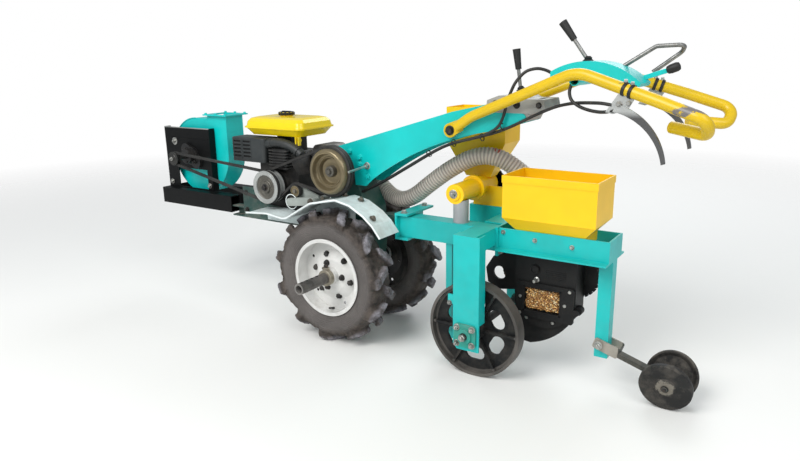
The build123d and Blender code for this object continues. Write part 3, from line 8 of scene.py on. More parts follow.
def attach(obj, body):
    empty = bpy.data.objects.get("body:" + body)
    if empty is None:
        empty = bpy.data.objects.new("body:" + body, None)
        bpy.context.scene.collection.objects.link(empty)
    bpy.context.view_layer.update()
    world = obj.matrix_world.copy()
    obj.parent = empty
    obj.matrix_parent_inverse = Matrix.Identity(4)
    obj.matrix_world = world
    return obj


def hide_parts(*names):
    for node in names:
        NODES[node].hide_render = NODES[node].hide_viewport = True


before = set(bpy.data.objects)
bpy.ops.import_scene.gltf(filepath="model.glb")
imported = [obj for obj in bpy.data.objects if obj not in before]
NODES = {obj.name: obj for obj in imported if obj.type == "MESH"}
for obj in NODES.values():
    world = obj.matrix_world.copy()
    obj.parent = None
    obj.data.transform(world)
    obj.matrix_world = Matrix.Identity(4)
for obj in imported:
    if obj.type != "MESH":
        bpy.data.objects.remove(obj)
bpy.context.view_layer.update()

# The single-row seeder's looks. Places are in mm: x forward of the drive axle, y left, z up from the ground.

bpy.context.scene.view_settings.view_transform = "Standard"
AXLE = 106.0
AXLE_Z = 240.0
TYRE_R = 240.0
TYRE_Y = 155.0
# Crosswise shafts, as (x, z): engine, gearbox, fan, the belt's two idlers, fertiliser barrel, gauge wheel
CRANK = (304.0, 526.0)
SHAFT = (8.0, 606.0)
FAN = (815.0, 597.0)
IDLER = (176.0, 521.0)
GUIDE = (195.0, 481.0)
FERT = (-437.0, 557.0)
GAUGE = (-556.0, 154.0)
LEFT = (0, 1, 0)
UP = (0, 0, 1)
HANDS = (("left", 1), ("right", -1))


def P(x, y, z):
    """A place in mm from the axle, as the scene's metres."""
    return Vector(((x + AXLE) / 1000, y / 1000, z / 1000))


def place(name, data):
    """A new object in the scene."""
    obj = bpy.data.objects.new(name, data)
    bpy.context.scene.collection.objects.link(obj)
    return obj


def linear(color):
    """A colour written as it looks, as the linear values that the shader takes."""
    return tuple(c / 12.92 if c <= 0.04045 else ((c + 0.055) / 1.055) ** 2.4 for c in color) + (1.0,)


# Materials


class Nodes:
    """Builds one material's nodes."""

    def __init__(self, name):
        self.mat = bpy.data.materials.new(name)
        self.mat.use_nodes = True
        self.tree = self.mat.node_tree
        self.shader = self.tree.nodes["Principled BSDF"]
        self.coord = self.new("ShaderNodeTexCoord").outputs["Object"]

    def new(self, kind, **inputs):
        node = self.tree.nodes.new(kind)
        for key, value in inputs.items():
            node.inputs[key.replace("_", " ")].default_value = value
        return node

    def link(self, out, to):
        self.tree.links.new(out, to)

    def noise(self, scale, detail=4.0, rough=0.55):
        node = self.new("ShaderNodeTexNoise", Scale=scale, Detail=detail, Roughness=rough)
        self.link(self.coord, node.inputs["Vector"])
        return node.outputs["Fac"]

    def ramp(self, source, low, high, a=0.0, b=1.0):
        node = self.new("ShaderNodeMapRange", From_Min=low, From_Max=high, To_Min=a, To_Max=b)
        self.link(source, node.inputs["Value"])
        return node.outputs["Result"]

    def math(self, kind, a, b):
        node = self.new("ShaderNodeMath")
        node.operation = kind
        for slot, value in enumerate((a, b)):
            if isinstance(value, (int, float)):
                node.inputs[slot].default_value = value
            else:
                self.link(value, node.inputs[slot])
        return node.outputs[0]

    def mix(self, factor, a, b):
        node = self.new("ShaderNodeMix")
        node.data_type = "RGBA"
        self.link(factor, node.inputs["Factor"])
        for name, value in (("A", a), ("B", b)):
            socket = next(s for s in node.inputs if s.name == name and s.type == "RGBA")
            if isinstance(value, tuple):
                socket.default_value = value
            else:
                self.link(value, socket)
        return next(s for s in node.outputs if s.type == "RGBA")

    def bump(self, height, strength, distance):
        node = self.new("ShaderNodeBump", Strength=strength, Distance=distance)
        self.link(height, node.inputs["Height"])
        self.link(node.outputs["Normal"], self.shader.inputs["Normal"])

    def vectors(self, kind, a, b=None):
        node = self.new("ShaderNodeVectorMath")
        node.operation = kind
        self.link(a, node.inputs[0])
        if b is not None:
            node.inputs[1].default_value = b
        return node.outputs["Value" if kind == "LENGTH" else "Vector"]

    def near(self, centre, spread):
        """How far a point lies from centre, measured in spread along each axis."""
        offset = self.vectors("SUBTRACT", self.coord, centre)
        return self.vectors("LENGTH", self.vectors("DIVIDE", offset, spread))

    def part(self, vector, axis):
        split = self.new("ShaderNodeSeparateXYZ")
        self.link(vector, split.inputs["Vector"])
        return split.outputs[axis]

    def along(self, axis):
        """A point's place along one axis."""
        return self.part(self.coord, axis)

    def facing(self, axis):
        """How far a face looks along one axis, from -1 to 1."""
        return self.part(self.new("ShaderNodeNewGeometry").outputs["Normal"], axis)


DUST = linear((0.55, 0.52, 0.48))
CHIPPED = linear((0.3, 0.27, 0.24))
RUST = linear((0.36, 0.24, 0.16))


def paint(name, color, rough=0.38, dust=0.25, shade=0.12, chips=0.0, metallic=0.0, coat=0.0, grain=0.0,
          dust_top=0.9, patches=(), zone=None, core=None, back=None, shine=0.5):
    """Painted or moulded surface: slight colour drift, orange-peel, dust that thickens to the ground, chips.
    patches are worn places (centre, spread, colour). zone is (axis, low, high, colour) for a second colour,
    and core is (centre, spread, colour) for one with a clean edge. back is (hand, colour) for the side of a
    drive wheel that faces the gearbox."""
    n = Nodes(name)
    n.shader.inputs["Specular IOR Level"].default_value = shine
    base = linear(color)
    dark = linear(tuple(c * (1 - shade) for c in color))
    drift = n.ramp(n.noise(7.0, 3.0), 0.35, 0.65)
    out = n.mix(drift, dark, base)
    if chips:
        spots = n.ramp(n.noise(90.0, 6.0, 0.75), 0.69 - 0.05 * chips, 0.72 - 0.05 * chips)
        out = n.mix(spots, out, CHIPPED)
    if zone:
        out = n.mix(n.ramp(n.along(zone[0]), zone[1], zone[2]), out, linear(zone[3]))
    # A drive wheel's faces towards the gearbox and its inner barrel are darkened, for dirt and as painted
    # shade
    if back:
        hand, dirt_and_shade = back
        away = n.ramp(n.facing("Y"), -0.2 * hand, -0.5 * hand)
        deep = n.ramp(n.along("Y"), 0.149 * hand, 0.147 * hand)
        out = n.mix(n.math("MAXIMUM", away, deep), out, linear(dirt_and_shade))
    if core:
        out = n.mix(n.ramp(n.near(core[0], core[1]), 1.0, 0.98), out, linear(core[2]))
    for centre, spread, worn in patches:
        ragged = n.math("ADD", n.near(centre, spread), n.ramp(n.noise(70.0, 6.0, 0.7), 0.3, 0.7, -0.35, 0.35))
        out = n.mix(n.ramp(ragged, 1.0, 0.85), out, linear(worn))
    film = n.ramp(n.noise(22.0, 6.0, 0.7), 0.42, 0.7)
    low = n.ramp(n.along("Z"), 0.55, 0.05, 0.25, 1.0)
    flat = n.ramp(n.facing("Z"), -0.2, 1.0, 0.35, dust_top)
    amount = n.math("MULTIPLY", n.math("MULTIPLY", film, low), n.math("MULTIPLY", flat, dust * 2))
    out = n.mix(amount, out, DUST)
    n.link(out, n.shader.inputs["Base Color"])
    n.link(n.ramp(amount, 0.0, 0.6, rough, min(1.0, rough + 0.45)), n.shader.inputs["Roughness"])
    n.shader.inputs["Metallic"].default_value = metallic
    n.shader.inputs["Coat Weight"].default_value = coat
    n.bump(n.noise(260.0 if grain else 140.0, 3.0), 0.12 + grain, 0.0006)
    return n.mat


def metal(name, color, rough=0.35, rust=0.2, dust=0.25):
    """Bare or worn metal with stains, rust in patches and brushed streaks."""
    n = Nodes(name)
    base = linear(color)
    drift = n.ramp(n.noise(16.0, 5.0, 0.65), 0.3, 0.7)
    out = n.mix(drift, linear(tuple(c * 0.62 for c in color)), base)
    patch = n.ramp(n.noise(34.0, 7.0, 0.75), 0.62 - 0.28 * rust, 0.72 - 0.1 * rust)
    out = n.mix(patch, out, RUST)
    film = n.ramp(n.noise(26.0, 6.0, 0.7), 0.45, 0.7, 0.0, dust * 1.6)
    low = n.ramp(n.along("Z"), 0.6, 0.0, 0.4, 1.0)
    amount = n.math("MULTIPLY", film, low)
    out = n.mix(amount, out, DUST)
    n.link(out, n.shader.inputs["Base Color"])
    n.link(n.ramp(patch, 0.0, 1.0, 0.9, 0.05), n.shader.inputs["Metallic"])
    n.link(n.ramp(n.noise(60.0, 4.0), 0.3, 0.7, rough, rough + 0.25), n.shader.inputs["Roughness"])
    n.bump(n.noise(180.0, 5.0, 0.7), 0.25, 0.0008)
    return n.mat


SIDEWALL_RING = 0.0062
WET_FROM = (0.186, 0.204)


def muddy(name, rubber, soil, share, centre):
    """Tyre rubber with wet soil between the lugs, dry soil on them, and thin rings round the sidewall."""
    n = Nodes(name)
    x = n.math("SUBTRACT", n.along("X"), centre.x)
    z = n.math("SUBTRACT", n.along("Z"), centre.z)
    r = n.math("SQRT", n.math("ADD", n.math("MULTIPLY", x, x), n.math("MULTIPLY", z, z)), 0.0)
    base = n.mix(n.ramp(n.noise(12.0, 5.0), 0.3, 0.7), linear(tuple(c * 0.85 for c in rubber)),
        linear(rubber))
    wet = n.mix(n.ramp(n.noise(30.0, 6.0, 0.7), 0.35, 0.65), linear((0.14, 0.12, 0.11)),
        linear((0.32, 0.285, 0.26)))
    ground = n.mix(n.ramp(n.noise(55.0, 6.0, 0.7), 0.35, 0.65), linear(tuple(c * 0.72 for c in soil)),
        linear(soil))
    caked = n.ramp(n.noise(19.0, 8.0, 0.68), 0.6 - share * 0.3, 0.66 - share * 0.12)
    amount = n.math("MULTIPLY", caked, n.ramp(r, 0.218, 0.234))
    out = n.mix(n.ramp(r, *WET_FROM), base, wet)
    out = n.mix(amount, out, ground)
    n.link(out, n.shader.inputs["Base Color"])
    n.link(n.ramp(amount, 0.0, 1.0, 0.72, 0.95), n.shader.inputs["Roughness"])
    rings = n.math("SINE", n.math("MULTIPLY", r, 2 * math.pi / SIDEWALL_RING), 0.0)
    side = n.ramp(r, 0.196, 0.205, 1.0, 0.0)
    lump = n.math("ADD", n.math("MULTIPLY", n.noise(46.0, 8.0, 0.72), 1.0), n.math("MULTIPLY", amount, 0.7))
    height = n.math("ADD", lump, n.math("MULTIPLY", n.math("MULTIPLY", rings, side), 0.1))
    n.bump(height, 0.75, 0.006)
    return n.mat


def corn_material():
    n = Nodes("corn")
    cells = n.new("ShaderNodeTexVoronoi", Scale=190.0, Randomness=1.0)
    n.link(n.coord, cells.inputs["Vector"])
    split = n.new("ShaderNodeSeparateColor")
    n.link(cells.outputs["Color"], split.inputs["Color"])
    out = n.mix(split.outputs[0], linear((0.95, 0.79, 0.5)), linear((0.82, 0.59, 0.32)))
    out = n.mix(n.ramp(split.outputs[1], 0.72, 0.9), out, linear((1.0, 0.93, 0.75)))
    # Darker towards each cell's edge: painted shade between the kernels
    out = n.mix(n.ramp(cells.outputs["Distance"], 0.3, 0.62), out, linear((0.5, 0.33, 0.17)))
    n.link(out, n.shader.inputs["Base Color"])
    n.shader.inputs["Roughness"].default_value = 0.45
    n.bump(n.ramp(cells.outputs["Distance"], 0.0, 0.7, 1.0, 0.0), 0.9, 0.003)
    return n.mat


def glass_material():
    n = Nodes("window_glass")
    n.link(n.ramp(n.noise(30.0, 5.0), 0.3, 0.7, 0.06, 0.22), n.shader.inputs["Roughness"])
    n.shader.inputs["Base Color"].default_value = linear((0.93, 0.93, 0.9))
    n.shader.inputs["Transmission Weight"].default_value = 1.0
    n.shader.inputs["IOR"].default_value = 1.2
    n.shader.inputs["Alpha"].default_value = 0.12
    return n.mat


TEAL = (0.0, 0.78, 0.765)
# Places with a look of their own: centre and spread in metres, colour
GRIP_WEAR = [(tuple(P(-1136, 187, 848)), (0.042, 0.02, 0.016), (0.45, 0.43, 0.42)),
             (tuple(P(-962, 153, 908)), (0.012, 0.012, 0.006), (0.4, 0.38, 0.34))]
STUB_STEEL = (tuple(P(0, 0, AXLE_Z)), (0.0215, 10.0, 0.0215), (0.46, 0.45, 0.44))
# Colour of the drive wheels' gearbox side: dirt, plus painted shade on their inner faces
WHEEL_BACK_DIRT_AND_SHADE = (0.1, 0.095, 0.09)
GAUGE_WEB = (tuple(P(GAUGE[0], 0, GAUGE[1])), (0.138, 10.0, 0.138), (0.05, 0.06, 0.07))
M = {
    "teal": paint("teal_paint", TEAL, rough=0.34, dust=0.05, shade=0.06, coat=0.1),
    "teal_frame": paint("teal_frame_paint", (0.0, 0.73, 0.72), rough=0.4, dust=0.1, shade=0.1),
    "green": paint("dark_green_paint", (0.09, 0.33, 0.3), rough=0.45, dust=0.55, shade=0.25, chips=0.6),
    "yellow": paint("hopper_yellow", (1.0, 0.8, 0.0), rough=0.38, dust=0.02, shade=0.04),
    "handle": paint("handle_yellow", (0.88, 0.735, 0.03), rough=0.34, dust=0.05, shade=0.06, chips=0.25,
                    patches=GRIP_WEAR),
    "tank": paint("tank_yellow", (0.93, 0.82, 0.01), rough=0.26, dust=0.03, shade=0.03, coat=0.3),
    "mint": paint("mint_paint", (0.86, 0.91, 0.91), rough=0.5, dust=0.6, shade=0.1, chips=0.5),
    # Whiter and cleaner than the mint paint: on the mudguard's rolled edge it is a painted highlight
    "white_edge": paint("white_edge", (0.93, 0.96, 0.96), rough=0.4, dust=0.08, shade=0.08, chips=0.2),
    "black": paint("black_paint", (0.025, 0.03, 0.035), rough=0.5, dust=0.02, shade=0.3, shine=0.2),
    # Near-black stand-in for the inside of holes and slots: painted shade
    "hole_shade": paint("painted_hole_shade", (0.02, 0.02, 0.02), rough=0.85, dust=0.05, shade=0.3),
    "plastic": paint("black_plastic", (0.05, 0.055, 0.06), rough=0.5, dust=0.05, shade=0.25, grain=0.2,
        shine=0.3),
    "cleaner": paint("cleaner_plastic", (0.17, 0.19, 0.195), rough=0.48, dust=0.2, shade=0.3, grain=0.2),
    "engine": paint("engine_black", (0.15, 0.15, 0.15), rough=0.48, dust=0.55, shade=0.4, metallic=0.35),
    "fins": paint("fin_grey", (0.3, 0.3, 0.3), rough=0.5, dust=0.4, shade=0.4, metallic=0.5),
    "grey": paint("pulley_grey", (0.7, 0.71, 0.7), rough=0.42, dust=0.2, shade=0.2, metallic=0.4,
        chips=0.4),
    "dark_iron": paint("dark_iron", (0.2, 0.2, 0.195), rough=0.45, dust=0.35, shade=0.3, metallic=0.4,
        chips=0.4),
    "worn_iron": paint("worn_iron", (0.4, 0.39, 0.36), rough=0.42, dust=0.25, shade=0.3, metallic=0.4,
        chips=0.6),
    "rails": paint("rail_green", (0.14, 0.28, 0.26), rough=0.5, dust=0.8, shade=0.25, chips=0.8,
        dust_top=1.2),
    "khaki": paint("pulley_khaki", (0.55, 0.5, 0.39), rough=0.32, dust=0.12, shade=0.22, metallic=0.6,
        chips=0.4),
    "casting": paint("casting_grey", (0.72, 0.72, 0.7), rough=0.5, dust=0.25, shade=0.22, metallic=0.2,
        grain=0.3),
    "belt": paint("belt_rubber", (0.13, 0.13, 0.13), rough=0.7, dust=0.35, shade=0.3, grain=0.2),
    "grip": paint("grip_rubber", (0.08, 0.08, 0.08), rough=0.55, dust=0.1, shade=0.2, grain=0.2),
    "cable": paint("cable_sheath", (0.11, 0.11, 0.11), rough=0.5, dust=0.3, shade=0.3),
    "pvc": paint("pipe_grey", (0.64, 0.65, 0.66), rough=0.38, dust=0.12, shade=0.08),
    "bearing": paint("bearing_paint", (0.08, 0.6, 0.54), rough=0.42, dust=0.3, shade=0.2, chips=0.3,
        zone=("X", 0.3, 0.301, (0.07, 0.07, 0.075))),
    "wheel_iron": paint("gauge_wheel_iron", (0.4, 0.385, 0.37), rough=0.6, dust=0.16, shade=0.35, shine=0.3,
        grain=0.3, core=GAUGE_WEB),
    "press_iron": paint("press_wheel_iron", (0.11, 0.11, 0.11), rough=0.6, dust=0.42, shade=0.4,
        metallic=0.2, chips=0.6, grain=0.4,
        patches=[(tuple(P(-1116, 92, 73)), (0.026, 0.06, 0.026), (0.47, 0.45, 0.41))]),
    # Both hose colours darken towards the front, from 0.02 m to 0.16 m along X: a painted shadow under the
    # beam
    "hose": paint("hose_plastic", (0.82, 0.78, 0.74), rough=0.46, dust=0.2, shade=0.14,
                  patches=[(tuple(P(-522, -70, 690)), (0.013, 0.03, 0.012), (0.62, 0.2, 0.16))],
                  zone=("X", 0.02, 0.16, (0.36, 0.34, 0.31))),
    # Darker colour for the rib valleys: painted shade in the folds
    "hose_valley": paint("hose_folds", (0.68, 0.64, 0.61), rough=0.6, dust=0.12, shade=0.15,
        zone=("X", 0.02, 0.16, (0.2, 0.19, 0.18))),
    "steel": metal("steel", (0.66, 0.66, 0.65), rough=0.3, rust=0.1, dust=0.15),
    "lever": paint("lever_steel", (0.8, 0.81, 0.8), rough=0.35, dust=0.15, shade=0.2, metallic=0.5,
        chips=0.3, zone=("Z", 0.842, 0.826, (0.36, 0.36, 0.36))),
    "zinc": metal("zinc_bolts", (0.8, 0.8, 0.78), rough=0.28, rust=0.0, dust=0.08),
    "dark_bolt": metal("dark_bolts", (0.3, 0.3, 0.3), rough=0.42, rust=0.2, dust=0.25),
    "stub": metal("stub_steel", (0.56, 0.55, 0.54), rough=0.5, rust=0.05, dust=0.25),
    "hub_clamp": metal("hub_clamp", (0.78, 0.75, 0.68), rough=0.42, rust=0.02, dust=0.3),
    "dull_bolt": metal("dull_bolts", (0.6, 0.58, 0.54), rough=0.5, rust=0.1, dust=0.4),
    "linkage": paint("linkage_grey", (0.66, 0.69, 0.67), rough=0.5, dust=0.35, shade=0.2, chips=0.6),
    "chain": metal("oily_chain", (0.15, 0.14, 0.13), rough=0.38, rust=0.2, dust=0.1),
    "arm": paint("arm_steel", (0.32, 0.34, 0.32), rough=0.5, dust=0.4, shade=0.3, metallic=0.5, chips=0.8,
                 zone=("X", -0.864, -0.861, (0.66, 0.64, 0.6))),
    "corn": corn_material(),
    "glass": glass_material(),
}
for side_name, hand in HANDS:
    M[side_name + "_white"] = paint(side_name + "_wheel_white", (0.88, 0.88, 0.87), rough=0.42, dust=0.3,
        shade=0.08, chips=0.25, core=STUB_STEEL, back=(hand, WHEEL_BACK_DIRT_AND_SHADE))
    M[side_name + "_mud"] = muddy(side_name + "_tyre_mud", (0.385, 0.365, 0.355), (0.62, 0.61, 0.64), 0.7,
        P(0, hand * TYRE_Y, AXLE_Z))

NODES_OF = {
    "left_mud": "left_tyre", "right_mud": "right_tyre", "left_white": "left_wheel",
    "right_white": "right_wheel", "green": "gearbox drawbar", "rails": "engine_rails",
    "engine": "engine_block recoil_cover", "fins": "cylinder_head", "tank": "fuel_tank",
    "cleaner": "air_cleaner air_duct", "stub": "silencer", "grey": "engine_pulley", "khaki": "gearbox_pulley",
    "dark_iron": "fan_shaft", "linkage": "tensioner", "belt": "drive_belt fan_belt",
    "black": "fan_base fan_stand", "teal": "fan_housing beam console", "mint": "left_fender",
    "casting": "beam_clamp", "handle": "left_handle right_handle", "grip": "shift_levers",
    "steel": "clutch_loop", "lever": "hand_levers",
    "teal_frame": "hitch_channel main_tube cross_tube far_channel wheel_leg hopper_rails rear_leg fert_shank",
    "bearing": "flange_bearings", "wheel_iron": "gauge_wheel", "yellow": "seed_hopper fert_meter fert_hopper",
    "plastic": "seed_meter seed_gear opener", "glass": "meter_window", "pvc": "fert_pipe",
    "chain": "fert_chain sprockets", "arm": "press_arm", "press_iron": "left_press_wheel right_press_wheel",
    "hose": "hose", "cable": "cables",
}
for key, names in NODES_OF.items():
    for name in names.split():
        slots = NODES[name].data.materials
        slots.clear()
        slots.append(M[key])

# Camera at the photo's place, and the stage
PHOTO_WIDTH = 800.0
FOCAL_PIXELS = 662.47
SENSOR = 36.0
EYE = (-1443.1, 1874.9, 986.1)
yaw, pitch, roll = math.radians(56.1), math.radians(14.775), math.radians(0.983)
forward = Vector((math.cos(pitch) * math.cos(yaw), -math.cos(pitch) * math.sin(yaw), -math.sin(pitch)))
right = Vector((-math.sin(yaw), -math.cos(yaw), 0))
down = forward.cross(right)
right2 = math.cos(roll) * right + math.sin(roll) * down
down2 = -math.sin(roll) * right + math.cos(roll) * down
camera_data = bpy.data.cameras.new("camera")
camera = place("camera", camera_data)
turn = Matrix((right2, -down2, -forward)).transposed()
camera.matrix_world = Matrix.Translation(P(*EYE)) @ turn.to_4x4()
camera_data.sensor_width = SENSOR
camera_data.lens = FOCAL_PIXELS * SENSOR / PHOTO_WIDTH
bpy.context.scene.camera = camera


FLOOR_FADE = (1.7, 5.5)


def stage_material(name, color):
    """Pale floor that keeps shadows and thins out far from the object, where the pale world takes over."""
    n = Nodes(name)
    n.shader.inputs["Base Color"].default_value = linear(color)
    n.shader.inputs["Roughness"].default_value = 0.9
    clear = n.new("ShaderNodeBsdfTransparent")
    blend = n.new("ShaderNodeMixShader")
    n.link(n.ramp(n.near((0.0, 0.0, 0.0), (1.0, 1.0, 1.0)), *FLOOR_FADE), blend.inputs[0])
    n.link(n.shader.outputs[0], blend.inputs[1])
    n.link(clear.outputs[0], blend.inputs[2])
    n.link(blend.outputs[0], n.tree.nodes["Material Output"].inputs["Surface"])
    return n.mat


FLOOR_R = 5.6
FLOOR_SIDES = 72
floor_data = bpy.data.meshes.new("floor")
turns = [2 * math.pi * i / FLOOR_SIDES for i in range(FLOOR_SIDES)]
floor_data.from_pydata([(FLOOR_R * math.cos(a), FLOOR_R * math.sin(a), 0) for a in turns], [],
    [tuple(range(FLOOR_SIDES))])
floor_data.materials.append(stage_material("floor_matt", (0.93, 0.93, 0.92)))
floor = place("floor", floor_data)

world = bpy.data.worlds.new("studio")
bpy.context.scene.world = world
world.use_nodes = True
tree = world.node_tree
back = tree.nodes["Background"]
back.inputs["Color"].default_value = (0.86, 0.9, 0.94, 1.0)
back.inputs["Strength"].default_value = 0.5
pale = tree.nodes.new("ShaderNodeBackground")
pale.inputs["Color"].default_value = (1.0, 1.0, 1.0, 1.0)
pale.inputs["Strength"].default_value = 1.0
path = tree.nodes.new("ShaderNodeLightPath")
seen = tree.nodes.new("ShaderNodeMath")
seen.operation = "MAXIMUM"
tree.links.new(path.outputs["Is Camera Ray"], seen.inputs[0])
tree.links.new(path.outputs["Is Transmission Ray"], seen.inputs[1])
mixer = tree.nodes.new("ShaderNodeMixShader")
tree.links.new(seen.outputs[0], mixer.inputs[0])
tree.links.new(back.outputs[0], mixer.inputs[1])
tree.links.new(pale.outputs[0], mixer.inputs[2])
tree.links.new(mixer.outputs[0], tree.nodes["World Output"].inputs["Surface"])


def lamp(name, spot, target, size, power, color=(1, 1, 1)):
    data = bpy.data.lights.new(name, "AREA")
    data.size = size
    data.energy = power
    data.color = color
    obj = place(name, data)
    obj.location = spot
    obj.rotation_mode = "QUATERNION"
    obj.rotation_quaternion = (Vector(target) - Vector(spot)).to_track_quat("-Z", "Y")


lamp("key", (0.5, 3.6, 3.5), (0, 0, 0.4), 2.6, 175, (1.0, 0.99, 0.97))
lamp("rear", (-3.4, 1.6, 2.8), (-0.2, 0, 0.5), 2.4, 55)
lamp("far", (0.4, -3.6, 3.2), (0, 0, 0.5), 2.6, 70, (0.95, 0.98, 1.0))

# Mesh tools
SMOOTH = math.radians(32)


def circle(radius, count):
    """Points evenly round a circle."""
    turns = [2 * math.pi * i / count for i in range(count)]
    return [(radius * math.cos(a), radius * math.sin(a)) for a in turns]


class Build:
    """Collects the faces of one piece."""

    def __init__(self):
        self.bm = bmesh.new()

    def ring(self, centre, u, v, points):
        return [self.bm.verts.new(centre + u * a + v * b) for a, b in points]

    def skin(self, rings, wrap=False):
        """Faces between each ring and the next, and from the last to the first with wrap."""
        count = len(rings[0])
        pairs = list(zip(rings, rings[1:])) + ([(rings[-1], rings[0])] if wrap else [])
        for a, b in pairs:
            for i in range(count):
                j = (i + 1) % count
                self.bm.faces.new((a[i], a[j], b[j], b[i]))

    def cap(self, ring, flip=False):
        self.bm.faces.new(list(reversed(ring)) if flip else ring)

    def lathe(self, origin, axis, profile, segments=32, caps=True):
        """Profile rows are (radius, distance along the axis)."""
        axis = Vector(axis).normalized()
        u = axis.orthogonal().normalized()
        v = axis.cross(u)
        rings = [self.ring(origin + axis * along, u, v, circle(radius, segments))
            for radius, along in profile]
        self.skin(rings)
        if caps:
            self.cap(rings[0], True)
            self.cap(rings[-1])

    def tube(self, points, radii, segments=10):
        """A round tube through points; radii is one radius or one for each point."""
        if not hasattr(radii, "__len__"):
            radii = [radii] * len(points)
        rings = []
        normal = None
        for i, point in enumerate(points):
            ahead = points[min(i + 1, len(points) - 1)] - points[max(i - 1, 0)]
            ahead.normalize()
            if normal is None:
                normal = ahead.orthogonal().normalized()
            normal = (normal - ahead * normal.dot(ahead)).normalized()
            side = ahead.cross(normal)
            rings.append(self.ring(point, normal, side, circle(radii[i], segments)))
        self.skin(rings)
        self.cap(rings[0], True)
        self.cap(rings[-1])

    def bolt(self, origin, axis, across=0.013, height=0.006, washer=0.0, stud=0.0):
        """Hexagon head or nut on a washer, with the stud's end where there is one."""
        axis = Vector(axis).normalized()
        base = 0.0
        if washer:
            self.lathe(origin, axis, [(washer, 0.0), (washer, 0.0012), (washer * 0.96, 0.0015)], 20)
            base = 0.0015
        r = across / math.sqrt(3)
        self.lathe(origin, axis, [(r * 0.98, base), (r, base + 0.0005), (r, base + height * 0.8),
            (r * 0.86, base + height)], 6)
        if stud:
            self.lathe(origin, axis, [(r * 0.5, base + height * 0.9), (r * 0.5, base + height + stud * 0.85),
                (r * 0.4, base + height + stud)], 12)

    def box(self, low, high):
        """A block between two corners given in mm from the axle."""
        corners = [P(x, y, z) for x in (low[0], high[0]) for y in (low[1], high[1])
            for z in (low[2], high[2])]
        v = [self.bm.verts.new(c) for c in corners]
        for face in ((0, 1, 3, 2), (4, 6, 7, 5), (0, 4, 5, 1), (2, 3, 7, 6), (0, 2, 6, 4), (1, 5, 7, 3)):
            self.bm.faces.new([v[i] for i in face])

    def turned(self, x, z, rows, segments=64, hand=1):
        """A wheel on the crosswise axis through (x, z): rows of (radius, y) in mm."""
        self.lathe(P(x, 0, z), (0, hand, 0), [(r / 1000, y / 1000) for r, y in rows], segments, caps=False)

    def make(self, name, material, body="chassis", slot=None, bevel=0.0):
        """The piece as an object that rides on its body."""
        bmesh.ops.recalc_face_normals(self.bm, faces=self.bm.faces)
        data = bpy.data.meshes.new(name)
        self.bm.to_mesh(data)
        self.bm.free()
        obj = place(name, data)
        data.materials.append(M[material])
        data.shade_smooth()
        data.set_sharp_from_angle(angle=SMOOTH)
        if bevel:
            modifier = obj.modifiers.new("bevel", "BEVEL")
            modifier.width = bevel
            modifier.segments = 2
            modifier.limit_method = "ANGLE"
            modifier.harden_normals = True
        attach(obj, body)
        return obj


def bolts(name, material, rows, body="chassis", slot="steel"):
    """A piece of bolts. Each row is a place, an axis and the sizes that Build.bolt takes."""
    build = Build()
    for spot, axis, *sizes in rows:
        build.bolt(P(*spot), axis, *sizes)
    build.make(name, material, body, slot)


def around(x, y, z, r, degrees):
    """A place on a circle that faces sideways."""
    a = math.radians(degrees)
    return x + r * math.cos(a), y, z + r * math.sin(a)


def over_tyre(lean, y, gap):
    """A place gap mm outside the tyre, lean degrees ahead of its top."""
    a = math.radians(lean)
    return (TYRE_R + gap) * math.sin(a), y, AXLE_Z + (TYRE_R + gap) * math.cos(a)


# Suction hose: a ribbed tube along the same route as the solid one
hose_route = [
    (752, -130, 595.7), (610, -146, 592.7), (440, -178, 584), (270, -184, 570), (120, -152, 556),
    (30, -118, 544), (-42, -95, 525), (-90, -83, 493), (-147, -70, 484), (-205, -60, 502), (-276, -54, 558),
    (-356, -54, 616), (-429, -60, 657), (-477, -70, 668), (-525, -84, 660), (-569, -102, 630),
    (-609, -120, 593), (-652, -131, 535), (-684, -135, 460), (-690, -136, 375),
]


def spline_points(name, route, resolution=24):
    """The points along a route's smooth line."""
    curve = bpy.data.curves.new(name, "CURVE")
    curve.dimensions = "3D"
    curve.resolution_u = resolution
    spline = curve.splines.new("NURBS")
    spline.points.add(len(route) - 1)
    for row, point in enumerate(route):
        spline.points[row].co = (*P(*point), 1.0)
    spline.order_u = 3
    spline.use_endpoint_u = True
    holder = place(name, curve)
    bpy.context.view_layer.update()
    mesh = bpy.data.meshes.new_from_object(holder)
    points = [v.co.copy() for v in mesh.vertices]
    bpy.data.objects.remove(holder)
    bpy.data.meshes.remove(mesh)
    return points


def resample(points, step):
    """Points evenly step apart along a line of points."""
    out = [points[0].copy()]
    left = step
    for a, b in zip(points, points[1:]):
        length = (b - a).length
        while length >= left:
            a = a + (b - a).normalized() * left
            out.append(a.copy())
            length = (b - a).length
            left = step
        left -= length
    out.append(points[-1].copy())
    return out


hose_line = spline_points("hose_route", hose_route)
RIB_PITCH = 0.011
RIB_SHAPE = (0.0296, 0.0286, 0.0268, 0.0286)
HOSE_SIDES = 24
ribs = resample(hose_line, RIB_PITCH / len(RIB_SHAPE))
hose_build = Build()
hose_build.tube(ribs, [RIB_SHAPE[i % len(RIB_SHAPE)] for i in range(len(ribs))], HOSE_SIDES)
hose_piece = hose_build.make("hose_ribbed", "hose", slot="hose")
# Faces in the rib valleys take the darker colour, as painted shade in the folds
hose_piece.data.materials.append(M["hose_valley"])
for face in hose_piece.data.polygons:
    if len(face.vertices) == 4 and face.index // HOSE_SIDES % len(RIB_SHAPE) in (1, 2):
        face.material_index = 1
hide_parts("hose")
[tuple(p) for p in resample(hose_line, 0.01)]

# Drive wheels: tyres with soil in the tread, nuts, hub clamp, valve, the stub's sleeve and cross holes
TREAD_REACH = 0.2396
TREAD_HALF = 0.0545
TREAD_FROM = 0.186
TREAD_RISE = 0.022
REMESH_SIZE = 0.0036
# Soil on the tread, as (scale of the noise, height in metres)
CRUMBS = (42, 0.005)
CLODS = (17, 0.0105)


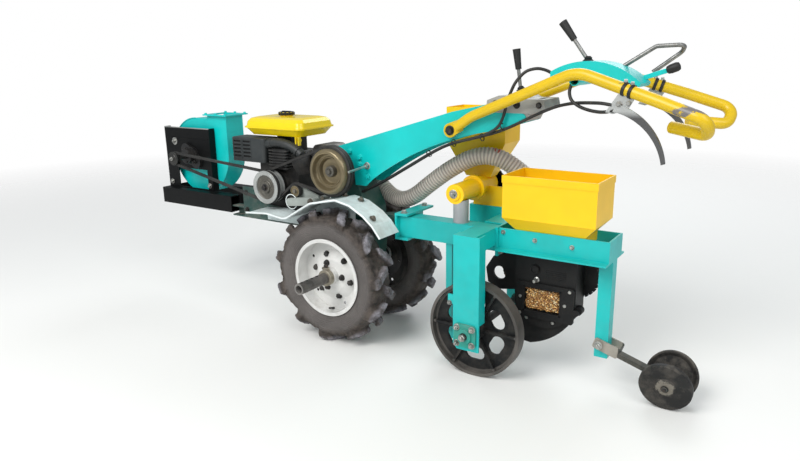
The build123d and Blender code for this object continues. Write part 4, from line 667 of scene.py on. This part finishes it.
def muddy_tyre(name, node, centre):
    """The tyre's solid in fine faces, with lumps of soil on and between its lugs, kept inside its size."""
    holder = place(name, node.data.copy())
    remesh = holder.modifiers.new("remesh", "REMESH")
    remesh.mode = "VOXEL"
    remesh.voxel_size = REMESH_SIZE
    bpy.context.view_layer.update()
    data = bpy.data.meshes.new_from_object(holder.evaluated_get(bpy.context.evaluated_depsgraph_get()))
    bpy.data.objects.remove(holder)
    data.transform(node.matrix_world)
    data.name = name
    moves = []
    for v in data.vertices:
        reach = math.hypot(v.co.x - centre.x, v.co.z - centre.z)
        tread = min(1.0, max(0.0, (reach - TREAD_FROM) / TREAD_RISE))
        crumbs = CRUMBS[1] * noise.fractal(v.co * CRUMBS[0], 1.0, 2.1, 5)
        clods = CLODS[1] * max(0.0, noise.noise(v.co * CLODS[0]))
        moves.append(v.normal * tread * (crumbs + clods))
    for v, move in zip(data.vertices, moves):
        spot = v.co + move - centre
        reach = math.hypot(spot.x, spot.z)
        shrink = min(1.0, TREAD_REACH / reach)
        half = max(-TREAD_HALF, min(TREAD_HALF, spot.y))
        v.co = centre + Vector((spot.x * shrink, half, spot.z * shrink))
    piece = place(name, data)
    data.materials.clear()
    data.materials.append(node.data.materials[0])
    data.shade_smooth()
    return piece


STUB_HOLES = (323, 297, 271, 245)
for side_name, hand in HANDS:
    body = side_name + "_drive_wheel"
    tyre = muddy_tyre(side_name + "_muddy_tyre", NODES[side_name + "_tyre"], P(0, hand * TYRE_Y, AXLE_Z))
    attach(tyre, body)
    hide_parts(side_name + "_tyre")
    bolts(side_name + "_wheel_nuts", "dark_bolt",
        [(around(0, hand * 155.5, AXLE_Z, 78, 12 + 60 * i), (0, hand, 0), 0.017, 0.009, 0.0115)
            for i in range(6)]
        + [(around(0, hand * 165.6, AXLE_Z, 48, 68 + 112 * i), (0, hand, 0), 0.017, 0.009, 0.0115, 0.004)
            for i in range(3)], body)
    sleeve = Build()
    sleeve.turned(0, AXLE_Z, [(14.3, 224), (14.3, 336.6), (18.9, 336.8), (19.4, 336.2), (19.4, 184.6),
        (14.3, 184.4)], 40, hand)
    sleeve.make(side_name + "_stub_sleeve", "stub", body, "steel")
    # Cross holes in the sleeve: near-black discs, painted shade where the holes are
    holes = Build()
    for y in STUB_HOLES:
        for up in (1, -1):
            holes.lathe(P(0, hand * y, AXLE_Z), (0, 0, up), [(0.0051, 0.018), (0.0051, 0.01945),
                (0.0044, 0.0196)], 18)
    holes.make(side_name + "_stub_holes", "hole_shade", body, "black")
    clamp = Build()
    clamp.turned(0, AXLE_Z, [(19.6, 184.6), (28, 184.6), (29, 185.6), (29, 203), (28, 204), (19.6, 204),
        (19.6, 184.6)], 40, hand)
    clamp.box((-9, hand * 186, AXLE_Z + 26), (9, hand * 202, AXLE_Z + 38))
    clamp.make(side_name + "_hub_clamp", "hub_clamp", body, "steel")
    bolts(side_name + "_clamp_bolts", "dark_bolt", [((0, hand * 194, AXLE_Z + 38), UP, 0.013, 0.007, 0.008),
        ((9, hand * 194, AXLE_Z + 32), (1, 0, 0), 0.01, 0.006)], body)
    valve = Build()
    valve.tube([P(0, hand * 160, AXLE_Z - 124), P(0, hand * 172, AXLE_Z - 121),
        P(0, hand * 186, AXLE_Z - 116)], [0.004, 0.0032, 0.0034], 14)
    valve.make(side_name + "_tyre_valve", "grip", body, "tyre")

# Engine pulley: bright grooved ring, worn iron dish and the crankshaft's bolt
ring = Build()
ring.turned(*CRANK, [(12.7, 118), (60.4, 118), (61, 118.6), (61, 122), (52, 124), (52, 136), (61, 138),
    (61, 140), (52, 142), (52, 154), (61, 156), (61.2, 158.8), (60.4, 159.6), (58, 159.8), (57.4, 159.3),
    (54, 159.3), (53.4, 159.8), (47, 159.8), (45.5, 159), (44.5, 156.5), (44.5, 154)])
piece = ring.make("engine_pulley_rim", "grey", slot="grey")
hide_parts("engine_pulley")
dish = Build()
dish.turned(*CRANK, [(44.6, 155), (42, 153), (40, 152.4), (34, 152.2), (33, 153.2), (30, 153.2), (29, 152.2),
    (24, 152.2), (21.5, 154), (20.5, 159.4), (19.5, 160.4), (12.7, 160.6)])
dish.make("engine_pulley_dish", "worn_iron", slot="grey")
bolts("crank_bolt", "dark_bolt", [((CRANK[0], 160.2, CRANK[1]), LEFT, 0.017, 0.009, 0.0135)])

# Gearbox pulley: dark grooved wheel behind a stepped khaki face, and its worn hub
back_wheel = Build()
back_wheel.turned(*SHAFT, [(0, 116), (88.4, 116), (89, 116.6), (89, 118.2), (87.4, 118.6), (87.4, 119.6),
    (89, 120), (89, 122), (80, 124), (80, 136), (89, 138), (89, 140.5), (86, 141.6), (80, 142),
    (76, 143)], 96)
piece = back_wheel.make("gearbox_pulley_wheel", "dark_iron", slot="khaki")
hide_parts("gearbox_pulley")
face = Build()
face.turned(*SHAFT, [(79, 142), (79.5, 146), (78.6, 150), (76.5, 155), (74, 158.6), (72, 160), (66, 160.6),
    (63.5, 160), (62, 157), (61, 150), (59.5, 144), (57.5, 141), (54, 140), (51.5, 140.6), (50.5, 142.6),
    (48, 142.6), (47, 141), (45, 136), (43.5, 130), (42, 127), (38, 125.4), (22, 125), (19.5, 126)], 96)
face.make("gearbox_pulley_face", "khaki", slot="khaki")
hub = Build()
hub.turned(*SHAFT, [(20.5, 125.5), (19.6, 136), (18.6, 143), (16.5, 145), (12, 145.4), (11, 143.6),
    (0, 143.6)], 48)
hub.bolt(P(SHAFT[0], 143.4, SHAFT[1]), LEFT, 0.015, 0.008)
hub.make("gearbox_pulley_hub", "worn_iron", slot="steel")

# Fan pulley's face and nut, the idlers' treads and rings, and the tensioner's bolts
fan_face = Build()
fan_face.turned(*FAN, [(18, 155.6), (27.2, 155.9), (27.5, 156.6), (27.5, 160), (26.6, 161), (22, 161),
    (20.6, 160.2), (18.2, 160.3), (15.6, 162.7), (9, 163), (0, 163)], 48)
fan_face.make("fan_pulley_face", "dark_iron", slot="grey")
bolts("fan_shaft_nut", "zinc", [((FAN[0], 162.8, FAN[1]), LEFT, 0.015, 0.008, 0.0, 0.005)])
for name, spot, r, tread_look, ring_look in (
        ("idler", IDLER, 22.0, "dark_iron", "khaki"), ("guide_wheel", GUIDE, 27.0, "belt", "dark_iron")):
    tread = Build()
    tread.turned(*spot, [(r - 4, 122.6), (r + 0.4, 122.7), (r + 0.5, 139), (r, 139.7), (r - 2.4, 139.8)], 48)
    tread.make(name + "_tread", tread_look, slot="grey")
    rings = Build()
    rings.turned(*spot, [(r - 2.2, 139.6), (r - 4.3, 139.6), (r - 5.2, 136.8), (r - 7, 136.6),
        (r - 7.6, 137.6), (r - 9.4, 137.6), (r - 10, 136.6), (r - 11, 138.6), (0, 138.8)], 48)
    rings.make(name + "_rings", ring_look, slot="khaki")
pale_rim = Build()
pale_rim.turned(*GUIDE, [(25.2, 139.4), (27.9, 139.4), (27.9, 141), (25.2, 141), (25.2, 139.4)], 48)
pale_rim.make("guide_wheel_rim", "white_edge", slot="mint")
bolts("tensioner_bolts", "dull_bolt", [((92, 152, 494), LEFT, 0.017, 0.008, 0.012, 0.004),
    ((IDLER[0], 138.6, IDLER[1]), LEFT, 0.013, 0.006, 0.009)])

# Fan stand: light grey strip along its top and rear edges, folded crease and bolts. Fan: bolts of its bearing
# and outlet, and its seam
edge_strip = Build()
edge_strip.box((704, 56.4, 708.6), (982, 60.7, 712.4))
edge_strip.box((981.2, 34, 640), (982, 60.7, 712.4))
edge_strip.make("stand_bright_edge", "grey", slot="black", bevel=0.0006)
crease = Build()
crease.tube([P(712, 60.1, 668), P(840, 60.1, 667), P(974, 60.1, 668)], 0.0016, 10)
crease.make("stand_crease", "black", slot="black")
bolts("stand_bolts", "zinc", [((922, 60, 652), LEFT, 0.015, 0.007, 0.016, 0.005)]
      + [((x, 60, 476), LEFT, 0.013, 0.006, 0.011) for x in (724, 962)])
bolts("fan_bearing_bolts", "dark_bolt",
      [((FAN[0] + dx, 72, FAN[1] + dz), LEFT, 0.015, 0.008, 0.011, 0.005)
       for dx, dz in ((27.6, 23.1), (-27.6, -23.1))]
      + [(around(FAN[0], 96, FAN[1], 22, a), LEFT, 0.007, 0.003) for a in (20, 140, 260)])
bolts("outlet_flange_bolts", "teal",
      [((x, y, 768), UP, 0.009, 0.004, 0.006) for x in (626, 683, 740) for y in (-70, 36)], slot="teal")
seam = Build()
seam.tube([P(*around(FAN[0], 28.4, FAN[1], 153, a)) for a in range(0, 91, 6)], 0.0022, 10)
seam.tube([P(738, 28.4, z) for z in (750, 752, 763)], 0.0022, 10)
seam.make("fan_housing_seam", "teal", slot="teal")

# Fuel tank's cap and the bracket under it
KNURL = 48
lid = Build()
knurl = []
for i in range(KNURL):
    r = 0.031 if i % 4 < 2 else 0.0296
    knurl.append((r * math.cos(2 * math.pi * i / KNURL), r * math.sin(2 * math.pi * i / KNURL)))
rings = [lid.ring(P(316, 10, z), Vector((1, 0, 0)), Vector((0, 1, 0)), [(a * s, b * s) for a, b in knurl])
    for z, s in ((777.6, 0.97), (779, 1.0), (787, 1.0), (789.6, 0.94), (790.4, 0.8),
        (789.4, 0.62), (789.4, 0.3))]
lid.skin(rings)
lid.cap(rings[-1])
lid.box((296, 6, 788), (336, 14, 793))
lid.make("fuel_cap", "grip", slot="black_plastic")
straps = Build()
for x in (196, 210):
    straps.box((x, 70, 676), (x + 4, 84, 708))
straps.box((196, 66, 690), (214, 70, 700))
straps.make("tank_bracket", "tank", slot="tank", bevel=0.001)

# Air duct: a rounded elbow over the head. Air cleaner: near-black boxes as painted shade in its slots, and
# the lips round them
DUCT_STEPS = 24
duct = Build()
bend = []
for i in range(DUCT_STEPS + 1):
    t = i / DUCT_STEPS
    bend.append(P(*[(1 - t) ** 2 * a + 2 * t * (1 - t) * b + t * t * c
                    for a, b, c in zip((348, 85, 676), (250, 85, 694), (182, 85, 644))]))
duct.tube(bend, [0.0195 - 0.002 * i / DUCT_STEPS for i in range(DUCT_STEPS + 1)], 28)
for i in (3, 21):
    heading = (bend[i + 1] - bend[i - 1]).normalized()
    duct.lathe(bend[i], heading, [(0.019, -0.004), (0.0206, -0.0035), (0.0206, 0.0035), (0.019, 0.004)], 28)
piece = duct.make("air_duct_elbow", "cleaner", slot="black_plastic")
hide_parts("air_duct")
grille = Build()
for column in (0, 1):
    x = 485 - column * 50
    for row in range(5):
        z = 626 + row * 14
        grille.box((x - 16, 107.4, z - 2.6), (x + 16, 108.6, z + 2.6))
grille.make("cleaner_slots", "hole_shade", slot="black")
frame_lip = Build()
for column in (0, 1):
    x = 485 - column * 50
    for z in (616.6, 691.6):
        frame_lip.box((x - 22, 111.6, z - 1.4), (x + 22, 113, z + 1.4))
    for dx in (-22, 22):
        frame_lip.box((x + dx - 1.2, 111.6, 616), (x + dx + 1.2, 113, 692))
frame_lip.make("cleaner_frames", "cleaner", slot="black_plastic", bevel=0.0005)

# Mudguard: rolled white edge, a painted highlight, and bolts. Arch rows are (degrees ahead of the top, gap to
# the tyre)
arch = [(44, 26), (40, 15), (30, 11), (20, 15), (11, 25), (-2, 33), (-12, 50), (-24, 57), (-36, 59),
    (-45, 60), (-54, 58)]
EDGE_Y = 204.6
edge_line = [P(365, EDGE_Y, 434), P(262, EDGE_Y, 442)]
edge_line += [P(*over_tyre(lean, EDGE_Y, gap + 1.2)) for lean, gap in arch]
rolled = Build()
rolled.tube(resample(edge_line, 0.006), 0.0032, 12)
rolled.make("fender_rolled_edge", "white_edge", slot="mint")
bolts("fender_bolts", "dull_bolt",
      [(over_tyre(lean, y, gap + 2.2), (math.sin(math.radians(lean)), 0, math.cos(math.radians(lean))),
        0.014, 0.007, 0.012, 0.003)
       for lean, gap, y in ((-8, 44, 120), (-22, 57, 128), (-40, 61, 176), (14, 24, 118))])
bolts("engine_bed_bolts", "dark_bolt", [((x, 93, z), LEFT, 0.015, 0.007, 0.011, 0.004)
    for x, z in ((476, 478), (476, 410), (400, 408), (300, 408))])

# Beam: painted bolts, belt guide rod, bolts of the pivot and clamp, and the shift levers' boots
bolts("beam_bolts", "teal",
      [((x, hand * 60, z), (0, hand, 0), 0.015, 0.008, 0.01)
       for x, z in ((-20, 668), (-62, 650), (-62, 626), (-96, 586)) for hand in (1, -1)], slot="teal")
guide_rod = Build()
guide_rod.tube([P(-92, 60, 622), P(-93, 110, 619), P(-94, 166, 616)], 0.0042, 14)
guide_rod.bolt(P(-92, 60, 622), LEFT, 0.017, 0.01, 0.0125)
guide_rod.make("belt_guide_rod", "zinc", slot="steel")
bolts("pivot_and_clamp_bolts", "dark_bolt", [((x, hand * y, z), (0, hand, 0), *sizes) for hand in (1, -1)
    for x, y, z, sizes in (
        (-425, 74, 760, (0.022, 0.009, 0.0155)), (-572, 60, 844, (0.016, 0.008, 0.011, 0.004)),
        (-640, 60, 842, (0.016, 0.008, 0.011, 0.004)), (-708, 60, 842, (0.013, 0.006, 0.009)))])
boot = Build()
boot.lathe(P(-609, -40, 868), UP, [(0.017, 0.0), (0.017, 0.003), (0.013, 0.006), (0.015, 0.01),
    (0.011, 0.013), (0.012, 0.017), (0.008, 0.021), (0.0055, 0.024)], 28)
boot.lathe(P(-824, 0, 963), UP, [(0.015, 0.0), (0.015, 0.002), (0.01, 0.006), (0.011, 0.009),
    (0.0056, 0.014)], 28)
boot.make("lever_boots", "grip", slot="black_plastic")

# Shift levers: bright rods under their black grips
rods = Build()
for foot, tip in ((P(-824, 0, 964.6), P(-746, 0, 1070)), (P(-609, -40, 868), P(-590, -40, 1000))):
    heading = (tip - foot).normalized()
    rods.tube([foot + heading * 0.004, tip - heading * 0.0605], 0.0053, 16)
rods.make("shift_lever_rods", "steel", slot="steel")

# Console: flat teal lever, lower in front, with a black knob
LEVER_X = (-1030, -962)
LEVER_DROP = 0.022
flat = Build()
flat.box((LEVER_X[0], -42.5, 930), (LEVER_X[1], -37.5, 944))
lever = flat.make("throttle_lever", "teal", slot="teal", bevel=0.0015)
for v in lever.data.vertices:
    v.co.z -= (v.co.x * 1000 - AXLE - LEVER_X[0]) / (LEVER_X[1] - LEVER_X[0]) * LEVER_DROP
knob = Build()
knob.lathe(P(-1026, -40, 936), (-0.87, 0, 0.34), [(0.006, 0.0), (0.0105, 0.003), (0.0125, 0.012),
    (0.0125, 0.028), (0.01, 0.034), (0.004, 0.036)], 28)
knob.make("throttle_knob", "grip", slot="black_plastic")

# Hand levers: clamp bands round the handles, bolts, and ties round the cables
BAR_START = (-838, 128, 938)
BAR_RUN = (-222, 44, -70)
bands = Build()
band_bolts = Build()
for hand in (1, -1):
    heading = Vector((BAR_RUN[0], hand * BAR_RUN[1], BAR_RUN[2])).normalized()
    for t in (0.61, 0.69):
        x, y, z = (start + run * t for start, run in zip(BAR_START, BAR_RUN))
        centre = P(x, hand * y, z)
        bands.lathe(centre, heading,
            [(0.0158, -0.0045), (0.018, -0.004), (0.018, 0.004), (0.0158, 0.0045)], 36)
        band_bolts.bolt(centre + Vector((0, 0, 0.0178)), UP, 0.009, 0.006, 0.006)
    band_bolts.bolt(P(-962, hand * 161, 858), (0, hand, 0), 0.012, 0.006, 0.009, 0.004)
    band_bolts.bolt(P(-986, hand * 161, 862), (0, hand, 0), 0.01, 0.005, 0.007)
bands.make("lever_clamp_bands", "grip", slot="black_plastic")
band_bolts.make("hand_lever_bolts", "zinc", slot="steel")
ties = Build()
for x, y, z, dx, dz in ((-438, 71, 722, -1, 0.26), (-535, 71, 744, -1, 0.3), (-347, 70, 683, -1, 0.55),
        (-600, 69, 779, -1, 0.45)):
    ties.lathe(P(x, y, z), (dx, 0, dz), [(0.0112, -0.002), (0.012, -0.002), (0.012, 0.002), (0.0112, 0.002),
        (0.0112, -0.002)], 24, caps=False)
ties.make("cable_ties", "grip", slot="black_plastic")

# Toolbar: bolts of the rails, leg, bearings, barrel, shank and arm, and the gauge wheel's nut
bolts("frame_bolts", "zinc",
      [((x, hand * 62, z), (0, hand, 0), 0.01, 0.006, 0.0075, 0.003)
       for hand in (1, -1) for x, z in ((-711.6, 443), (-826.4, 438), (-608, 456))]
      + [((-593, y, 389), (-1, 0, 0), 0.013, 0.007, 0.01, 0.004) for y in (52, -40)]
      + [((-499, 203, 250), LEFT, 0.011, 0.006, 0.008)]
      + [((GAUGE[0] + dx, y, GAUGE[1] + dz), (0, hand, 0), 0.014, 0.008, 0.0105, 0.005)
         for dx in (-26, 26) for dz in (-26, 26) for y, hand in ((214, 1), (-185, -1))]
      + [((-434, 66, 558), LEFT, 0.017, 0.008, 0.0145, 0.004)]
      + [((x, -138, 496), UP, 0.013, 0.007, 0.01, 0.004) for x in (-520, -430)]
      + [((-245, hand * 66, 475), UP, 0.015, 0.008, 0.012) for hand in (1, -1)])
bolts("gauge_shaft_nut", "zinc", [((GAUGE[0], 226, GAUGE[1]), LEFT, 0.021, 0.009, 0.0, 0.005)],
    "gauge_wheel_body")
bolts("arm_pivot_bolt", "zinc", [((-911, 32, 138), LEFT, 0.017, 0.008, 0.013, 0.004)], "press_arm_body")

# Press wheels: shallow domed discs that lean together at the ground, and their nuts
TILT = math.radians(12)
PRESS_X = -1116
PRESS_R = 73
PRESS_HALF = 10
for side_name, hand in HANDS:
    out = Vector((0, hand * math.cos(TILT), -math.sin(TILT)))
    centre = P(PRESS_X, 22 + hand * 42, PRESS_R * math.cos(TILT) + PRESS_HALF * math.sin(TILT))
    disc = Build()
    disc.lathe(centre, out, [(r / 1000, y / 1000) for r, y in ((8.2, -10), (24, -10), (30, -3), (58, -3),
        (68, -9.6), (72, -9.6), (73, -8), (73, 5), (71.4, 8.4), (66, 9.6), (52, 8.8), (38, 6.6), (31, 6.2),
        (27.5, 8.8), (24, 9.7), (14, 9.9), (8.2, 9.9), (8.2, -10))], 72, caps=False)
    piece = disc.make(side_name + "_press_disc", "press_iron", side_name + "_press_wheel_body", "cast")
    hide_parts(side_name + "_press_wheel")
    nut = Build()
    nut.bolt(centre + out * 0.0115, out, 0.013, 0.004, 0.011)
    nut.make(side_name + "_press_nut", "dark_bolt", "press_arm_body", "steel")

# Seed meter: clear window over the maize, screws, knob, embossed ribs and boss ring
random.seed(11)
WINDOW_X = -735
WINDOW_Z = 250
SEED_STEP = 6.6
DRIFT = 1.4
corn = Build()
for y in (31.5, 35.5, 39.0):
    for row in range(12):
        for column in range(17):
            x = WINDOW_X + (column - 8 + 0.5 * (row % 2)) * SEED_STEP + random.uniform(-DRIFT, DRIFT)
            z = WINDOW_Z + (row - 5.5) * SEED_STEP + random.uniform(-DRIFT, DRIFT)
            if abs(x - WINDOW_X) > 53 or abs(z - WINDOW_Z) > 34:
                continue
            spin = random.uniform(0, 6.28)
            spin = Matrix.Rotation(spin, 4, Vector((random.random(), random.random(), 0.3)))
            grow = Matrix.Diagonal((0.0052, 0.003, 0.0042, 1.0)) * random.uniform(0.9, 1.1)
            grow[3][3] = 1.0
            pose = Matrix.Translation(P(x, y + random.uniform(-0.8, 0.8), z)) @ spin @ grow
            bmesh.ops.create_icosphere(corn.bm, subdivisions=1, radius=1.0, matrix=pose)
corn.box((WINDOW_X - 55, 24, WINDOW_Z - 36), (WINDOW_X + 55, 32, WINDOW_Z + 36))
corn.make("maize", "corn", slot="window")
pane = Build()
pane.box((WINDOW_X - 55.8, 43.6, WINDOW_Z - 36.8), (WINDOW_X + 55.8, 45.2, WINDOW_Z + 36.8))
piece = pane.make("meter_pane", "glass", slot="window", bevel=0.0004)
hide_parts("meter_window")
bezel = Build()
for x0, z0, x1, z1 in ((-61, 37, 61, 42), (-61, -42, 61, -37), (-61, -42, -56, 42), (56, -42, 61, 42)):
    bezel.box((WINDOW_X + x0, 46, WINDOW_Z + z0), (WINDOW_X + x1, 49.4, WINDOW_Z + z1))
for z in (322, 328, 334, 340, 346):
    bezel.box((-806, 39, z), (-742, 41.4, z + 2.2))
bezel.make("meter_bezel", "plastic", slot="black_plastic", bevel=0.0006)
screws = Build()
for x, y, z in ((-664, 48, 254), (-808, 48, 248), (-664, 48, 200), (-822, 48, 294), (-770, 40, 182),
        (-684, 40, 184)):
    screws.lathe(P(x, y, z), LEFT, [(0.0055, 0.0), (0.0055, 0.001), (0.0045, 0.0026), (0.002, 0.0032)], 18)
screws.lathe(P(-714, 39, 314), LEFT, [(0.009, 0.0), (0.009, 0.004), (0.0058, 0.006), (0.0058, 0.022),
    (0.0045, 0.0255), (0.002, 0.026)], 22)
screws.make("meter_screws", "zinc", slot="steel")
boss = Build()
boss.turned(-708, 346, [(9.5, 45.8), (13.6, 45.8), (13.2, 48.4), (10, 48.4), (9.5, 45.8)], 36)
boss.turned(-844, 232, [(6, 47.6), (10, 47.8), (9.6, 51), (6.2, 51.4), (0, 51.4)], 30)
boss.make("meter_bosses", "plastic", slot="black_plastic")

# Chain links and sprocket teeth on the far side
ARC_STEPS = 40


def chain_loop(circles, count):
    """Evenly spaced places round an open belt over two wheels."""
    (x1, z1, r1), (x2, z2, r2) = circles
    gap = math.hypot(x2 - x1, z2 - z1)
    lean = math.atan2(z2 - z1, x2 - x1)
    open_angle = math.acos((r1 - r2) / gap)
    line = []
    for x, z, r, start, sweep in ((x1, z1, r1, lean + open_angle, 2 * math.pi - 2 * open_angle),
            (x2, z2, r2, lean - open_angle, 2 * open_angle)):
        for i in range(ARC_STEPS + 1):
            a = start + sweep * i / ARC_STEPS
            line.append(Vector((x + r * math.cos(a), 0, z + r * math.sin(a))))
    line.append(line[0])
    total = sum((b - a).length for a, b in zip(line, line[1:]))
    places, done, target = [], 0.0, 0.0
    for a, b in zip(line, line[1:]):
        length = (b - a).length
        while target < done + length and len(places) < count:
            places.append(a + (b - a) * ((target - done) / length))
            target += total / count
        done += length
    return places


CHAIN_Y = -203
LINKS = 88
LINK_SHAPE = [(-9, -2.4), (-6, -4.2), (0, -3.0), (6, -4.2), (9, -2.4),
              (9, 2.4), (6, 4.2), (0, 3.0), (-6, 4.2), (-9, 2.4)]
links = Build()
pins = chain_loop(((*FERT, 46.6), (*GAUGE, 30.6)), LINKS)
for i, spot in enumerate(pins):
    ahead = pins[(i + 1) % LINKS]
    centre = P(spot.x, CHAIN_Y, spot.z)
    half = 4.6 if i % 2 else 3.0
    links.lathe(centre, LEFT, [(0.0036, -half / 1000), (0.0036, half / 1000)], 10)
    middle = (spot + ahead) / 2
    run = (ahead - spot).normalized()
    across = Vector((-run.z, 0, run.x))
    for y in (half, -half):
        base = P(middle.x, CHAIN_Y + y, middle.z)
        plate = []
        for dy in (-0.0006, 0.0006):
            plate.append([links.bm.verts.new(base + run * (a / 1000) + across * (b / 1000)
                + Vector((0, dy, 0))) for a, b in LINK_SHAPE])
        links.skin(plate)
        links.cap(plate[0], True)
        links.cap(plate[1])
piece = links.make("chain_links", "chain", slot="chain")
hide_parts("fert_chain")
teeth = Build()
for x, z, r, count, body_hole in ((*FERT, 42.0, 22, 10.5), (*GAUGE, 26.0, 14, 13.2)):
    outline = []
    for i in range(count * 4):
        a = 2 * math.pi * i / (count * 4)
        reach = (r + 6.2 if i % 4 < 2 else r - 0.5) / 1000
        outline.append((reach * math.cos(a), reach * math.sin(a)))
    inner = circle(body_hole / 1000, count * 4)
    loops = [teeth.ring(P(x, CHAIN_Y + dy, z), Vector((1, 0, 0)), Vector(UP), shape)
             for dy, shape in ((2, inner), (2, outline), (-2, outline), (-2, inner))]
    teeth.skin(loops, wrap=True)
teeth.make("sprocket_teeth", "chain", slot="chain")
